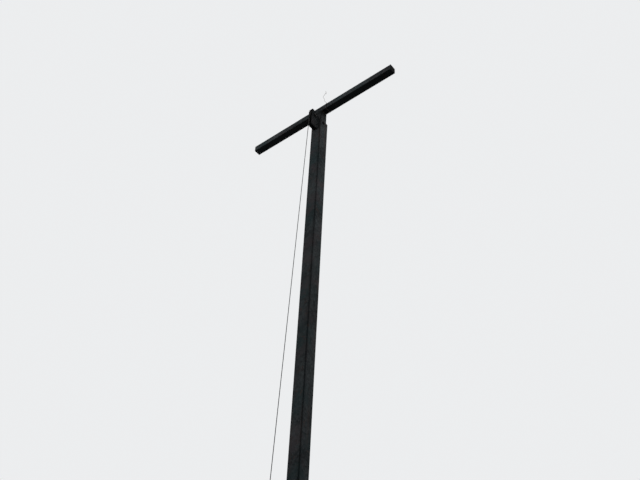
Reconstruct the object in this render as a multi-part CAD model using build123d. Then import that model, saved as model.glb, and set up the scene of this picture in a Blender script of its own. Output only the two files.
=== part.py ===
from build123d import *
import os
from math import atan, cos, degrees, radians, sin, sqrt

# Telescopic light mast, built at its real size in millimetres.
# A square outer mast stands on a bolted base plate. A square inner tube slides up inside it and
# carries a bare crossbar for lamps. A wire rope runs from a hand winch, up the front, over a sheave
# at the outer mast's rim and down inside to the inner tube's foot.
#
# Frame: +Z up, +X along the crossbar to the right, -Y is the front, where the rope, sheave and winch are.
# The origin is the centre of the base plate's underside.

# Base plate and its gussets
BASE_SIDE = 350.0
BASE_THICK = 15.0
BASE_CORNER = 12.0
BOLT_SPACING = 270.0
BOLT_HOLE_R = 11.0
GUSSET_THICK = 10.0
GUSSET_HEIGHT = 160.0
GUSSET_OUT = 115.0
GUSSET_NOSE = 12.0
GUSSET_WELD_NOTCH = 14.0

# Outer mast
MAST_SIZE = 80.0
MAST_WALL = 4.0
MAST_CORNER = 8.0
MAST_LENGTH = 6000.0

# Inner tube, set back in the outer mast to leave room for the rope at the front
INNER_SIZE = 60.0
INNER_WALL = 3.0
INNER_CORNER = 6.0
INNER_SHOWING = 112.0
INNER_SETBACK = 4.5

# Guides between the two tubes, near the rim
GUIDE_HEIGHT = 110.0
GUIDE_BELOW_RIM = 8.0
GUIDE_SIDE_WIDTH = 40.0
GUIDE_FRONT_WIDTH = 18.0
GUIDE_CLEARANCE = 0.4

# Foot of the inner tube and the bolt that it comes down on
SHOE_HEIGHT = 60.0
SHOE_CLEARANCE = 0.5
ANCHOR_R = 3.5
ANCHOR_LENGTH = 32.0
STOP_ABOVE_GUSSETS = 65.0
STOP_BOLT_R = 10.0
STOP_HEAD_FLATS = 30.0
STOP_HEAD_THICK = 13.0
STOP_THREAD_OUT = 6.0
STOP_GAP = 0.3

# Crossbar
BAR_SIZE = 50.0
BAR_WALL = 3.0
BAR_CORNER = 4.0
BAR_LENGTH = 1205.0
BAR_OFFSET = 6.5
CAP_THICK = 4.0

# Wire rope, and the sheave that turns it over the rim
ROPE_D = 4.0
ROPE_WALL_GAP = 0.5
ROPE_LEAN = 0.029
SHEAVE_PITCH_R = 38.5
SHEAVE_ABOVE_RIM = 19.0
SHEAVE_FLANGE = 3.0
SHEAVE_RIM_WIDTH = 12.0
SHEAVE_RIM_DEPTH = 13.0
SHEAVE_WEB = 6.0
SHEAVE_HUB_R = 15.0
SHEAVE_SIDE_GAP = 0.5
SHEAVE_SLOT_GAP = 5.0
GROOVE_GAP = 0.3
GROOVE_MOUTH = 9.0
PIN_R = 8.0
PIN_RUNNING_GAP = 0.05
PIN_HEAD_FLATS = 24.0
PIN_HEAD_THICK = 10.0
PIN_THREAD_OUT = 5.0

# Cheeks that hold the sheave, welded to the mast's front face, and the strap across their top
CHEEK_THICK = 6.0
CHEEK_GAP = 18.0
CHEEK_OUT = 59.0
CHEEK_ABOVE_RIM = 63.0
CHEEK_BELOW_RIM = 92.0
CHEEK_FOOT_CUT = 8.0
CHEEK_TOP_WIDTH = 40.0
CHEEK_BACK_ABOVE_RIM = 46.0
STRAP_THICK = 3.0
STRAP_WIDTH = 16.0

# Hexagonal heads and nuts: the reach of a corner and the depth of its chamfer, as shares of the flats
HEX_CORNER_REACH = 2 / sqrt(3)
HEX_CHAMFER = 0.07

# Hand winch, on a stand-off bracket low on the front
WINCH_HEIGHT = 1200.0
DRUM_R = 25.0
DRUM_WIDTH = 60.0
DRUM_FLANGE_R = 50.0
DRUM_FLANGE_THICK = 3.0
DRUM_SHAFT_R = 8.0
COIL_TURNS = 4
COIL_PITCH = 4.2
ROPE_WRAP = 270.0
GEAR_MODULE = 3.0
GEAR_TEETH = 36
PINION_TEETH = 8
GEAR_WIDTH = 8.0
TOOTH_ADDENDUM = 2.4
TOOTH_DEDENDUM = 3.2
TOOTH_ROOT_SHARE = 0.52
TOOTH_TIP_SHARE = 0.24
PINION_SHAFT_R = 7.0
RATCHET_TEETH = 12
RATCHET_R = 22.0
RATCHET_DEPTH = 4.5
RATCHET_THICK = 5.0
RATCHET_SIDE_GAP = 3.0
PAWL_ANGLE = -26.5
PAWL_GAP = 0.5
PAWL_TILT = 20.0
PAWL_LENGTH = 31.0
PAWL_NOSE = 6.0
PAWL_BOSS_R = 7.0
PAWL_STUD_R = 4.0
PAWL_HEAD_R = 6.0
PAWL_HEAD_THICK = 3.0
FRAME_WALL = 4.0
FRAME_SIDE_GAP = 5.0
FRAME_BACK_GAP = 6.0
FRAME_ABOVE_PINION = 24.0
FRAME_BELOW_DRUM = 40.0
FRAME_FRONT = 24.0
SHAFT_FIT = 0.1
SHAFT_OUT = 6.0
CRANK_GAP = 8.0
CRANK_THICK = 6.0
CRANK_WIDTH = 26.0
CRANK_LENGTH = 220.0
GRIP_R = 14.0
GRIP_LENGTH = 110.0
BRACKET_WALL = 8.0
BRACKET_WIDTH = 120.0
BRACKET_MARGIN = 20.0

# Stray binding wire left on the crossbar
WIRE_D = 1.6
WIRE_GAP = 0.3
WIRE_X = 66.0
WIRE_CORNER = 5.0
WIRE_TAIL = [(0.0, 0.0), (-8.0, 24.0), (-20.0, 42.0), (-23.0, 70.0), (-36.0, 106.0), (-24.0, 122.0), (-13.0, 127.0)]
WIRE_BEND = 4.0
WIRE_FROM_FRONT = 7.0
WIRE_KNOT_R = 3.0
WIRE_KNOT_HEIGHT = 12.0
WIRE_STUB = 28.0
WIRE_STUB_SLANT = -3.0

# Places that follow from the sizes above
RIM_Z = BASE_THICK + MAST_LENGTH
FACE_Y = -MAST_SIZE / 2
MAST_INSIDE = MAST_SIZE / 2 - MAST_WALL
INNER_FRONT_Y = INNER_SETBACK - INNER_SIZE / 2
INNER_BACK_Y = INNER_SETBACK + INNER_SIZE / 2
BAR_Z = RIM_Z + INNER_SHOWING
BAR_TOP_Z = BAR_Z + BAR_SIZE
STOP_Z = BASE_THICK + GUSSET_HEIGHT + STOP_ABOVE_GUSSETS
SHOE_Z = STOP_Z + STOP_BOLT_R + STOP_GAP
INNER_Z = SHOE_Z + SHOE_HEIGHT
FALL_Y = -MAST_INSIDE + ROPE_D / 2 + ROPE_WALL_GAP
ANCHOR_Y = (INNER_FRONT_Y - MAST_INSIDE) / 2
SHEAVE_Y = FALL_Y - SHEAVE_PITCH_R
SHEAVE_Z = RIM_Z + SHEAVE_ABOVE_RIM
SHEAVE_R = SHEAVE_PITCH_R + SHEAVE_FLANGE
FALL_TOP_Z = RIM_Z - SHEAVE_SLOT_GAP
LEAN_ANGLE = degrees(atan(ROPE_LEAN))
LEAN_LENGTH = sqrt(1 + ROPE_LEAN**2)
DRUM_PITCH_R = DRUM_R + ROPE_D / 2
DRUM_Z = WINCH_HEIGHT
ROPE_AT_DRUM_Y = SHEAVE_Y - SHEAVE_PITCH_R * LEAN_LENGTH - ROPE_LEAN * (SHEAVE_Z - DRUM_Z)
DRUM_Y = ROPE_AT_DRUM_Y + DRUM_PITCH_R * LEAN_LENGTH
GEAR_R = GEAR_MODULE * GEAR_TEETH / 2
PINION_R = GEAR_MODULE * PINION_TEETH / 2
PINION_Z = DRUM_Z + GEAR_R + PINION_R
DRUM_END = DRUM_WIDTH / 2 + DRUM_FLANGE_THICK
GEAR_X = -DRUM_END - GEAR_WIDTH
FRAME_HALF = DRUM_END + GEAR_WIDTH + FRAME_SIDE_GAP
WINCH_REACH = max(GEAR_R + TOOTH_ADDENDUM, DRUM_FLANGE_R)
FRAME_BACK_Y = DRUM_Y + WINCH_REACH + FRAME_BACK_GAP
FRAME_LOW_Z = DRUM_Z - FRAME_BELOW_DRUM
FRAME_HIGH_Z = PINION_Z + FRAME_ABOVE_PINION
BRACKET_FRONT_Y = FRAME_BACK_Y + FRAME_WALL
CRANK_X = FRAME_HALF + FRAME_WALL + CRANK_GAP
RATCHET_X = FRAME_HALF - RATCHET_SIDE_GAP - RATCHET_THICK
RATCHET_ROOT_R = RATCHET_R - RATCHET_DEPTH

os.makedirs("parts", exist_ok=True)


def block(x0, x1, y0, y1, z0, z1):
    """A box between two corners."""
    size = Box(x1 - x0, y1 - y0, z1 - z0)
    return Pos((x0 + x1) / 2, (y0 + y1) / 2, (z0 + z1) / 2) * size


def side_plate(points, x0, x1):
    """A plate whose outline is drawn in Y and Z, from x0 to x1."""
    outline = Plane.YZ.offset(x0) * Polygon(*points, align=None)
    return extrude(outline, amount=x1 - x0, dir=(1, 0, 0))


def rod_x(radius, x0, x1, y, z):
    """A round bar along X."""
    return Pos((x0 + x1) / 2, y, z) * Rot(0, 90, 0) * Cylinder(radius, x1 - x0)


def hex_x(flats, x0, x1, y, z):
    """A hexagonal head or nut along X."""
    outline = Plane.YZ.offset(x0) * Pos(y, z) * RegularPolygon(flats / 2, 6, major_radius=False)
    round_blank = rod_x(flats / 2 * HEX_CORNER_REACH, x0, x1, y, z)
    outer_rim = round_blank.edges().filter_by(GeomType.CIRCLE).sort_by(lambda rim: abs(rim.center().X))[-1]
    return extrude(outline, amount=x1 - x0) & chamfer(outer_rim, flats * HEX_CHAMFER)


def square_tube(size, wall, corner, length):
    """A square hollow section standing on Z = 0."""
    outside = RectangleRounded(size, size, corner)
    inside = RectangleRounded(size - 2 * wall, size - 2 * wall, corner - wall)
    return extrude(outside - inside, amount=length)


def polar(y, z, radius, angle):
    """A point on a circle in the plane X = 0."""
    return (0, y + radius * cos(radians(angle)), z + radius * sin(radians(angle)))


def tube_along(path, radius):
    """A round solid swept along a path."""
    section = Plane(origin=path @ 0, z_dir=path % 0) * Circle(radius)
    return sweep(section, path=path)


def base_plate():
    plate = extrude(RectangleRounded(BASE_SIDE, BASE_SIDE, BASE_CORNER), amount=BASE_THICK)
    holes = GridLocations(BOLT_SPACING, BOLT_SPACING, 2, 2) * Cylinder(BOLT_HOLE_R, 3 * BASE_THICK)
    return plate - holes


def gusset(turn):
    """A triangular stiffener from the base plate to one face of the mast."""
    face = MAST_SIZE / 2
    tip = face + GUSSET_OUT
    top = BASE_THICK + GUSSET_HEIGHT
    points = [
        (face + GUSSET_WELD_NOTCH, BASE_THICK),
        (tip, BASE_THICK),
        (tip, BASE_THICK + GUSSET_NOSE),
        (face + GUSSET_NOSE, top),
        (face, top),
        (face, BASE_THICK + GUSSET_WELD_NOTCH),
    ]
    return Rot(0, 0, turn) * side_plate(points, -GUSSET_THICK / 2, GUSSET_THICK / 2)


def outer_tube():
    """The outer mast, slotted at the rim for the sheave and drilled for the stop bolt."""
    tube = Pos(0, 0, BASE_THICK) * square_tube(MAST_SIZE, MAST_WALL, MAST_CORNER, MAST_LENGTH)
    slot_floor = SHEAVE_Z - SHEAVE_R - SHEAVE_SLOT_GAP
    half = CHEEK_GAP / 2
    slot = block(-half, half, FACE_Y - MAST_WALL, -MAST_INSIDE + MAST_WALL, slot_floor, RIM_Z + MAST_WALL)
    bolt_hole = rod_x(STOP_BOLT_R + SHAFT_FIT, -MAST_SIZE, MAST_SIZE, 0, STOP_Z)
    return tube - slot - bolt_hole


def stop_bolt():
    face = MAST_SIZE / 2
    shank = rod_x(STOP_BOLT_R, -face - STOP_HEAD_THICK - STOP_THREAD_OUT, face, 0, STOP_Z)
    return shank + hex_x(STOP_HEAD_FLATS, face, face + STOP_HEAD_THICK, 0, STOP_Z)


def stop_bolt_nut():
    face = MAST_SIZE / 2
    nut = hex_x(STOP_HEAD_FLATS, -face - STOP_HEAD_THICK, -face, 0, STOP_Z)
    return nut - rod_x(STOP_BOLT_R + SHAFT_FIT, -MAST_SIZE, MAST_SIZE, 0, STOP_Z)


def guide_side(side):
    """A slide pad on the left or right wall, side being -1 or 1."""
    near = INNER_SIZE / 2 + GUIDE_CLEARANCE
    xs = sorted((side * near, side * MAST_INSIDE))
    top = RIM_Z - GUIDE_BELOW_RIM
    half = GUIDE_SIDE_WIDTH / 2
    return block(xs[0], xs[1], -half, half, top - GUIDE_HEIGHT, top)


def guide_front(side):
    """A slide pad beside the rope on the front wall, side being -1 or 1."""
    near = CHEEK_GAP / 2
    xs = sorted((side * near, side * (near + GUIDE_FRONT_WIDTH)))
    top = RIM_Z - GUIDE_BELOW_RIM
    return block(xs[0], xs[1], -MAST_INSIDE, INNER_FRONT_Y - GUIDE_CLEARANCE, top - GUIDE_HEIGHT, top)


def guide_back():
    top = RIM_Z - GUIDE_BELOW_RIM
    half = GUIDE_SIDE_WIDTH / 2
    return block(-half, half, INNER_BACK_Y + GUIDE_CLEARANCE, MAST_INSIDE, top - GUIDE_HEIGHT, top)


def sheave_cheek(side):
    """One of the two plates that hold the sheave, drilled for its pin."""
    front = FACE_Y - CHEEK_OUT
    points = [
        (FACE_Y, RIM_Z - CHEEK_BELOW_RIM),
        (front + CHEEK_FOOT_CUT, RIM_Z - CHEEK_BELOW_RIM),
        (front, RIM_Z - CHEEK_BELOW_RIM + CHEEK_FOOT_CUT),
        (front, RIM_Z + CHEEK_ABOVE_RIM),
        (front + CHEEK_TOP_WIDTH, RIM_Z + CHEEK_ABOVE_RIM),
        (FACE_Y, RIM_Z + CHEEK_BACK_ABOVE_RIM),
    ]
    near = CHEEK_GAP / 2
    xs = sorted((side * near, side * (near + CHEEK_THICK)))
    plate = side_plate(points, xs[0], xs[1])
    return plate - rod_x(PIN_R + SHAFT_FIT, xs[0] - PIN_R, xs[1] + PIN_R, SHEAVE_Y, SHEAVE_Z)


def sheave_strap():
    """A strap welded across the front of both cheeks' tops, which keeps the rope in the groove."""
    half = CHEEK_GAP / 2 + CHEEK_THICK
    front = FACE_Y - CHEEK_OUT
    low = RIM_Z + CHEEK_ABOVE_RIM
    return block(-half, half, front, front + STRAP_WIDTH, low, low + STRAP_THICK)


def sheave_pin():
    outside = CHEEK_GAP / 2 + CHEEK_THICK
    shank = rod_x(PIN_R, -outside - PIN_HEAD_THICK - PIN_THREAD_OUT, outside, SHEAVE_Y, SHEAVE_Z)
    return shank + hex_x(PIN_HEAD_FLATS, outside, outside + PIN_HEAD_THICK, SHEAVE_Y, SHEAVE_Z)


def sheave_pin_nut():
    outside = CHEEK_GAP / 2 + CHEEK_THICK
    nut = hex_x(PIN_HEAD_FLATS, -outside - PIN_HEAD_THICK, -outside, SHEAVE_Y, SHEAVE_Z)
    return nut - rod_x(PIN_R + SHAFT_FIT, -2 * outside, 2 * outside, SHEAVE_Y, SHEAVE_Z)


def sheave():
    """A grooved wheel on the pin, with a hub, a thin web and a deep rim."""
    hub = CHEEK_GAP / 2 - SHEAVE_SIDE_GAP
    web = SHEAVE_WEB / 2
    rim = SHEAVE_RIM_WIDTH / 2
    bore = PIN_R + PIN_RUNNING_GAP
    rim_in = SHEAVE_R - SHEAVE_RIM_DEPTH
    half = [(hub, bore), (hub, SHEAVE_HUB_R), (web, SHEAVE_HUB_R), (web, rim_in), (rim, rim_in), (rim, SHEAVE_R)]
    other_half = [(-x, r) for x, r in reversed(half)]
    groove_r = ROPE_D / 2 + GROOVE_GAP
    mouth = GROOVE_MOUTH / 2
    groove = Polygon(
        (-groove_r, SHEAVE_PITCH_R),
        (groove_r, SHEAVE_PITCH_R),
        (mouth, SHEAVE_R),
        (mouth, SHEAVE_R + groove_r),
        (-mouth, SHEAVE_R + groove_r),
        (-mouth, SHEAVE_R),
        align=None,
    )
    profile = Polygon(*half, *other_half, align=None) - Pos(0, SHEAVE_PITCH_R) * Circle(groove_r) - groove
    return Pos(0, SHEAVE_Y, SHEAVE_Z) * revolve(Plane.XZ * profile, Axis.X)


def lifting_rope():
    """The rope from its last turn on the drum, up the front, over the sheave and into the mast."""
    leave = 180 - LEAN_ANGLE
    drum_end = leave + ROPE_WRAP
    path = Wire([
        ThreePointArc(
            polar(DRUM_Y, DRUM_Z, DRUM_PITCH_R, drum_end),
            polar(DRUM_Y, DRUM_Z, DRUM_PITCH_R, leave + ROPE_WRAP / 2),
            polar(DRUM_Y, DRUM_Z, DRUM_PITCH_R, leave),
        ),
        Line(polar(DRUM_Y, DRUM_Z, DRUM_PITCH_R, leave), polar(SHEAVE_Y, SHEAVE_Z, SHEAVE_PITCH_R, leave)),
        ThreePointArc(
            polar(SHEAVE_Y, SHEAVE_Z, SHEAVE_PITCH_R, leave),
            polar(SHEAVE_Y, SHEAVE_Z, SHEAVE_PITCH_R, leave / 2),
            polar(SHEAVE_Y, SHEAVE_Z, SHEAVE_PITCH_R, 0),
        ),
        Line(polar(SHEAVE_Y, SHEAVE_Z, SHEAVE_PITCH_R, 0), (0, FALL_Y, FALL_TOP_Z)),
    ])
    return tube_along(path, ROPE_D / 2)


def rope_fall():
    """The hidden fall of the rope, inside the mast, down to its anchor on the shoe."""
    path = Wire([Line((0, FALL_Y, FALL_TOP_Z), (0, ANCHOR_Y, INNER_Z + ANCHOR_LENGTH))])
    return tube_along(path, ROPE_D / 2)


def winch_bracket():
    """Two arms and a mounting plate that stand the winch off the mast's front face."""
    low = FRAME_LOW_Z - BRACKET_MARGIN
    high = FRAME_HIGH_Z + BRACKET_MARGIN
    back = BRACKET_FRONT_Y + BRACKET_WALL
    half = BRACKET_WIDTH / 2
    plate = block(-half, half, BRACKET_FRONT_Y, back, low, high)
    arm = [(back, low), (FACE_Y, low - BRACKET_MARGIN), (FACE_Y, high + BRACKET_MARGIN), (back, high)]
    outside = MAST_SIZE / 2 - MAST_CORNER
    right = side_plate(arm, outside - BRACKET_WALL, outside)
    left = side_plate(arm, -outside, BRACKET_WALL - outside)
    return plate + right + left


def winch_frame():
    """A bent channel: a back and two sides that carry the drum and pinion shafts."""
    side = [
        (FRAME_BACK_Y, FRAME_LOW_Z),
        (DRUM_Y, FRAME_LOW_Z),
        (DRUM_Y - FRAME_FRONT, DRUM_Z),
        (DRUM_Y - FRAME_FRONT, PINION_Z),
        (DRUM_Y, FRAME_HIGH_Z),
        (FRAME_BACK_Y, FRAME_HIGH_Z),
    ]
    outside = FRAME_HALF + FRAME_WALL
    back = block(-outside, outside, FRAME_BACK_Y, BRACKET_FRONT_Y, FRAME_LOW_Z, FRAME_HIGH_Z)
    frame = back + side_plate(side, FRAME_HALF, outside) + side_plate(side, -outside, -FRAME_HALF)
    frame -= rod_x(DRUM_SHAFT_R + SHAFT_FIT, -2 * outside, 2 * outside, DRUM_Y, DRUM_Z)
    return frame - rod_x(PINION_SHAFT_R + SHAFT_FIT, -2 * outside, 2 * outside, DRUM_Y, PINION_Z)


def winch_drum():
    """A smooth barrel between two flanges."""
    half = DRUM_WIDTH / 2
    drum = rod_x(DRUM_R, -half, half, DRUM_Y, DRUM_Z)
    drum += rod_x(DRUM_FLANGE_R, half, DRUM_END, DRUM_Y, DRUM_Z)
    drum += rod_x(DRUM_FLANGE_R, -DRUM_END, -half, DRUM_Y, DRUM_Z)
    return drum - rod_x(DRUM_SHAFT_R + SHAFT_FIT, -2 * DRUM_END, 2 * DRUM_END, DRUM_Y, DRUM_Z)


def winch_drum_shaft():
    end = FRAME_HALF + FRAME_WALL + SHAFT_OUT
    return rod_x(DRUM_SHAFT_R, -end, end, DRUM_Y, DRUM_Z)


def winch_rope_coil():
    """The turns that stay on the drum, beside the rope's last turn."""
    near = -ROPE_D / 2 - (COIL_PITCH - ROPE_D)
    far = near - COIL_TURNS * COIL_PITCH
    profile = Polygon((far, DRUM_R), (near, DRUM_R), (near, DRUM_PITCH_R), (far, DRUM_PITCH_R), align=None)
    for turn in range(COIL_TURNS):
        profile += Pos(near - (turn + 0.5) * COIL_PITCH, DRUM_PITCH_R) * Circle(ROPE_D / 2)
    below_core = Polygon((far, 0), (near, 0), (near, DRUM_R), (far, DRUM_R), align=None)
    return Pos(0, DRUM_Y, DRUM_Z) * revolve(Plane.XZ * (profile - below_core), Axis.X)


def toothed_wheel(teeth, bore, x0, x1, z, start):
    """A spur gear with straight-sided teeth, its first tooth at the start angle in degrees."""
    pitch_r = GEAR_MODULE * teeth / 2
    step = 360 / teeth
    points = []
    for tooth in range(teeth):
        middle = start + tooth * step
        for share, radius in (
            (-TOOTH_ROOT_SHARE, pitch_r - TOOTH_DEDENDUM),
            (-TOOTH_TIP_SHARE, pitch_r + TOOTH_ADDENDUM),
            (TOOTH_TIP_SHARE, pitch_r + TOOTH_ADDENDUM),
            (TOOTH_ROOT_SHARE, pitch_r - TOOTH_DEDENDUM),
        ):
            point = polar(DRUM_Y, z, radius, middle + share * step / 2)
            points.append((point[1], point[2]))
    wheel = side_plate(points, x0, x1)
    return wheel - rod_x(bore, x0 - GEAR_WIDTH, x1 + GEAR_WIDTH, DRUM_Y, z)


def winch_gear():
    """The large gear on the drum's left end. A gap faces the pinion."""
    start = 90 + 180 / GEAR_TEETH
    return toothed_wheel(GEAR_TEETH, DRUM_SHAFT_R + SHAFT_FIT, GEAR_X, -DRUM_END, DRUM_Z, start)


def winch_pinion():
    """The small gear. A tooth faces the large gear."""
    return toothed_wheel(PINION_TEETH, PINION_SHAFT_R, GEAR_X, -DRUM_END, PINION_Z, -90)


def winch_ratchet():
    """A saw-toothed wheel on the pinion shaft. The steep side of each tooth faces the pawl."""
    points = []
    for tooth in range(RATCHET_TEETH):
        angle = PAWL_ANGLE + tooth * 360 / RATCHET_TEETH
        points += [polar(DRUM_Y, PINION_Z, radius, angle)[1:] for radius in (RATCHET_R, RATCHET_ROOT_R)]
    wheel = side_plate(points, RATCHET_X, RATCHET_X + RATCHET_THICK)
    return wheel - rod_x(PINION_SHAFT_R + SHAFT_FIT, 0, 2 * FRAME_HALF, DRUM_Y, PINION_Z)


def winch_pawl():
    """The lever that drops into the ratchet and stops it, on a stud in the frame's right side."""
    lean = radians(PAWL_TILT)
    low = RATCHET_ROOT_R + PAWL_GAP
    pivot = (low + PAWL_NOSE / 2 + PAWL_LENGTH * sin(lean), PAWL_GAP + PAWL_LENGTH * cos(lean))
    inner = (pivot[0] - PAWL_BOSS_R * cos(lean), pivot[1] + PAWL_BOSS_R * sin(lean))
    outer = (pivot[0] + PAWL_BOSS_R * cos(lean), pivot[1] - PAWL_BOSS_R * sin(lean))
    outline = [(low, PAWL_GAP), (low + PAWL_NOSE, PAWL_GAP), outer, inner]
    ratchet_side = RATCHET_X + RATCHET_THICK
    pawl = side_plate(outline, RATCHET_X, ratchet_side) + rod_x(PAWL_BOSS_R, RATCHET_X, ratchet_side, *pivot)
    pawl += rod_x(PAWL_STUD_R, RATCHET_X, FRAME_HALF, *pivot)
    pawl += rod_x(PAWL_HEAD_R, RATCHET_X - PAWL_HEAD_THICK, RATCHET_X, *pivot)
    return Pos(0, DRUM_Y, PINION_Z) * Rot(PAWL_ANGLE, 0, 0) * pawl


def winch_pinion_shaft():
    left = FRAME_HALF + FRAME_WALL + SHAFT_OUT
    right = CRANK_X + CRANK_THICK + SHAFT_OUT
    return rod_x(PINION_SHAFT_R, -left, right, DRUM_Y, PINION_Z)


def winch_crank():
    """A flat arm with rounded ends, hanging down from the pinion shaft."""
    outline = Pos(0, -CRANK_LENGTH / 2) * Rot(0, 0, 90) * SlotCenterToCenter(CRANK_LENGTH, CRANK_WIDTH)
    arm = extrude(Plane.YZ.offset(CRANK_X) * Pos(DRUM_Y, PINION_Z) * outline, amount=CRANK_THICK)
    return arm - rod_x(PINION_SHAFT_R + SHAFT_FIT, 0, 2 * CRANK_X, DRUM_Y, PINION_Z)


def winch_grip():
    start = CRANK_X + CRANK_THICK
    return rod_x(GRIP_R, start, start + GRIP_LENGTH, DRUM_Y, PINION_Z - CRANK_LENGTH)


def inner_tube():
    tube = square_tube(INNER_SIZE, INNER_WALL, INNER_CORNER, BAR_Z - INNER_Z)
    return Pos(0, INNER_SETBACK, INNER_Z) * tube


def foot_shoe():
    """A solid guide block under the inner tube, a sliding fit in the mast."""
    size = 2 * (MAST_INSIDE - SHOE_CLEARANCE)
    corner = MAST_CORNER - MAST_WALL
    return Pos(0, 0, SHOE_Z) * extrude(RectangleRounded(size, size, corner), amount=SHOE_HEIGHT)


def rope_anchor():
    """The swaged stud that holds the rope's end on the shoe."""
    stud = Cylinder(ANCHOR_R, ANCHOR_LENGTH, align=(Align.CENTER, Align.CENTER, Align.MIN))
    return Pos(0, ANCHOR_Y, INNER_Z) * stud


def crossbar():
    tube = Rot(0, 90, 0) * square_tube(BAR_SIZE, BAR_WALL, BAR_CORNER, BAR_LENGTH)
    return Pos(BAR_OFFSET - BAR_LENGTH / 2, INNER_SETBACK, BAR_Z + BAR_SIZE / 2) * tube


def end_cap(side):
    """A plate welded over one end of the crossbar."""
    end = BAR_OFFSET + side * BAR_LENGTH / 2
    plate = Rot(0, 90, 0) * extrude(RectangleRounded(BAR_SIZE, BAR_SIZE, BAR_CORNER), amount=side * CAP_THICK)
    return Pos(end, INNER_SETBACK, BAR_Z + BAR_SIZE / 2) * plate


def binding_wire():
    """A loop of stiff wire round the crossbar, with a bent tail that stands up to a twisted knot."""
    middle_z = BAR_Z + BAR_SIZE / 2
    side = BAR_SIZE + 2 * WIRE_GAP + WIRE_D
    ring = Plane.YZ.offset(WIRE_X) * Pos(INNER_SETBACK, middle_z) * RectangleRounded(side, side, WIRE_CORNER)
    loop = tube_along(ring.wire(), WIRE_D / 2)
    foot = (WIRE_X, INNER_SETBACK - side / 2 + WIRE_FROM_FRONT, middle_z + side / 2)
    upright = Plane(origin=foot, x_dir=(1, 0, 0), z_dir=(0, -1, 0))
    tail = tube_along(upright * FilletPolyline(*WIRE_TAIL, radius=WIRE_BEND), WIRE_D / 2)
    top_x, top_z = WIRE_TAIL[-1]
    knot = upright * Pos(top_x, top_z) * Rot(90, 0, 0) * Cylinder(WIRE_KNOT_R, WIRE_KNOT_HEIGHT)
    stub_end = (top_x + WIRE_STUB_SLANT, top_z + WIRE_STUB)
    stub = tube_along(upright * Line((top_x, top_z), stub_end), WIRE_D / 2)
    return loop + tail + knot + stub


NODES = {
    "base_plate": base_plate(),
    "gusset_back": gusset(0),
    "gusset_left": gusset(90),
    "gusset_front": gusset(180),
    "gusset_right": gusset(270),
    "outer_tube": outer_tube(),
    "stop_bolt": stop_bolt(),
    "stop_bolt_nut": stop_bolt_nut(),
    "guide_pad_left": guide_side(-1),
    "guide_pad_right": guide_side(1),
    "guide_pad_front_left": guide_front(-1),
    "guide_pad_front_right": guide_front(1),
    "guide_strip_back": guide_back(),
    "sheave_cheek_left": sheave_cheek(-1),
    "sheave_cheek_right": sheave_cheek(1),
    "sheave_strap": sheave_strap(),
    "sheave_pin": sheave_pin(),
    "sheave_pin_nut": sheave_pin_nut(),
    "sheave": sheave(),
    "lifting_rope": lifting_rope(),
    "rope_fall": rope_fall(),
    "winch_bracket": winch_bracket(),
    "winch_frame": winch_frame(),
    "winch_drum": winch_drum(),
    "winch_drum_shaft": winch_drum_shaft(),
    "winch_rope_coil": winch_rope_coil(),
    "winch_gear": winch_gear(),
    "winch_pinion": winch_pinion(),
    "winch_ratchet": winch_ratchet(),
    "winch_pawl": winch_pawl(),
    "winch_pinion_shaft": winch_pinion_shaft(),
    "winch_crank": winch_crank(),
    "winch_grip": winch_grip(),
    "inner_tube": inner_tube(),
    "foot_shoe": foot_shoe(),
    "rope_anchor": rope_anchor(),
    "crossbar": crossbar(),
    "end_cap_left": end_cap(-1),
    "end_cap_right": end_cap(1),
    "binding_wire": binding_wire(),
}

for name, solid in NODES.items():
    export_step(solid, f"parts/{name}.step")
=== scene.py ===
"""Telescopic light mast: the finish of its steel, its rope, welds and small fittings, and a plain studio."""
import logging
import math
from dataclasses import dataclass
from enum import Enum
from functools import cache
from typing import Callable, Iterable, Sequence

import bmesh
import bpy
from mathutils import Matrix, Vector


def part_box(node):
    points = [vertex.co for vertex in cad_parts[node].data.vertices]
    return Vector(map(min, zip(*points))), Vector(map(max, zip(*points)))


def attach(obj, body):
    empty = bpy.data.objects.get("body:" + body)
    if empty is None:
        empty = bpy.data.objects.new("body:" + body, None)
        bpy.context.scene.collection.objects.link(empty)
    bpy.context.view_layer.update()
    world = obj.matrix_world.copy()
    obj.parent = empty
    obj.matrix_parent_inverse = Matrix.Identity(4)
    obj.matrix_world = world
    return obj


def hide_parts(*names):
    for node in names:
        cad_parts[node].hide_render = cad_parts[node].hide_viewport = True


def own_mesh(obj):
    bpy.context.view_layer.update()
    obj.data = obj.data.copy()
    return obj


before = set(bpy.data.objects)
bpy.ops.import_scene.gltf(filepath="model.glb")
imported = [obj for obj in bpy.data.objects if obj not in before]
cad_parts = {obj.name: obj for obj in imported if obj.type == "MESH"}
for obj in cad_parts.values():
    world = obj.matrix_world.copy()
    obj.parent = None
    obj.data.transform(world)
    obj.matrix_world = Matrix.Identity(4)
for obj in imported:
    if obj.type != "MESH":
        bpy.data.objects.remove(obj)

logging.basicConfig(level=logging.INFO, format="%(name)s: %(message)s")
LOG = logging.getLogger("light_mast")

Colour = tuple[float, float, float]
Point = tuple[float, float, float]
Shape = bpy.types.Object
Socket = bpy.types.NodeSocket
Inputs = dict[str, object]

MM = 0.001
TURN = 2 * math.pi
QUARTER = math.pi / 2
ALONG_X = (0.0, QUARTER, 0.0)  # the turn that lays an upright shape along X
SHARP_EDGE = math.radians(38.0)  # the angle from which an edge is shaded sharp
FACING = 0.5  # how far a face's normal goes along an axis when the face looks that way
SAME_SPOT = 1e-6  # the distance under which two corners are one
HEXAGON = 6  # the sides of a bolt head or a nut


class Body(Enum):
    """The bodies that the new pieces ride on."""

    MAST = "outer_mast"
    TOP = "top_section"


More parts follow.
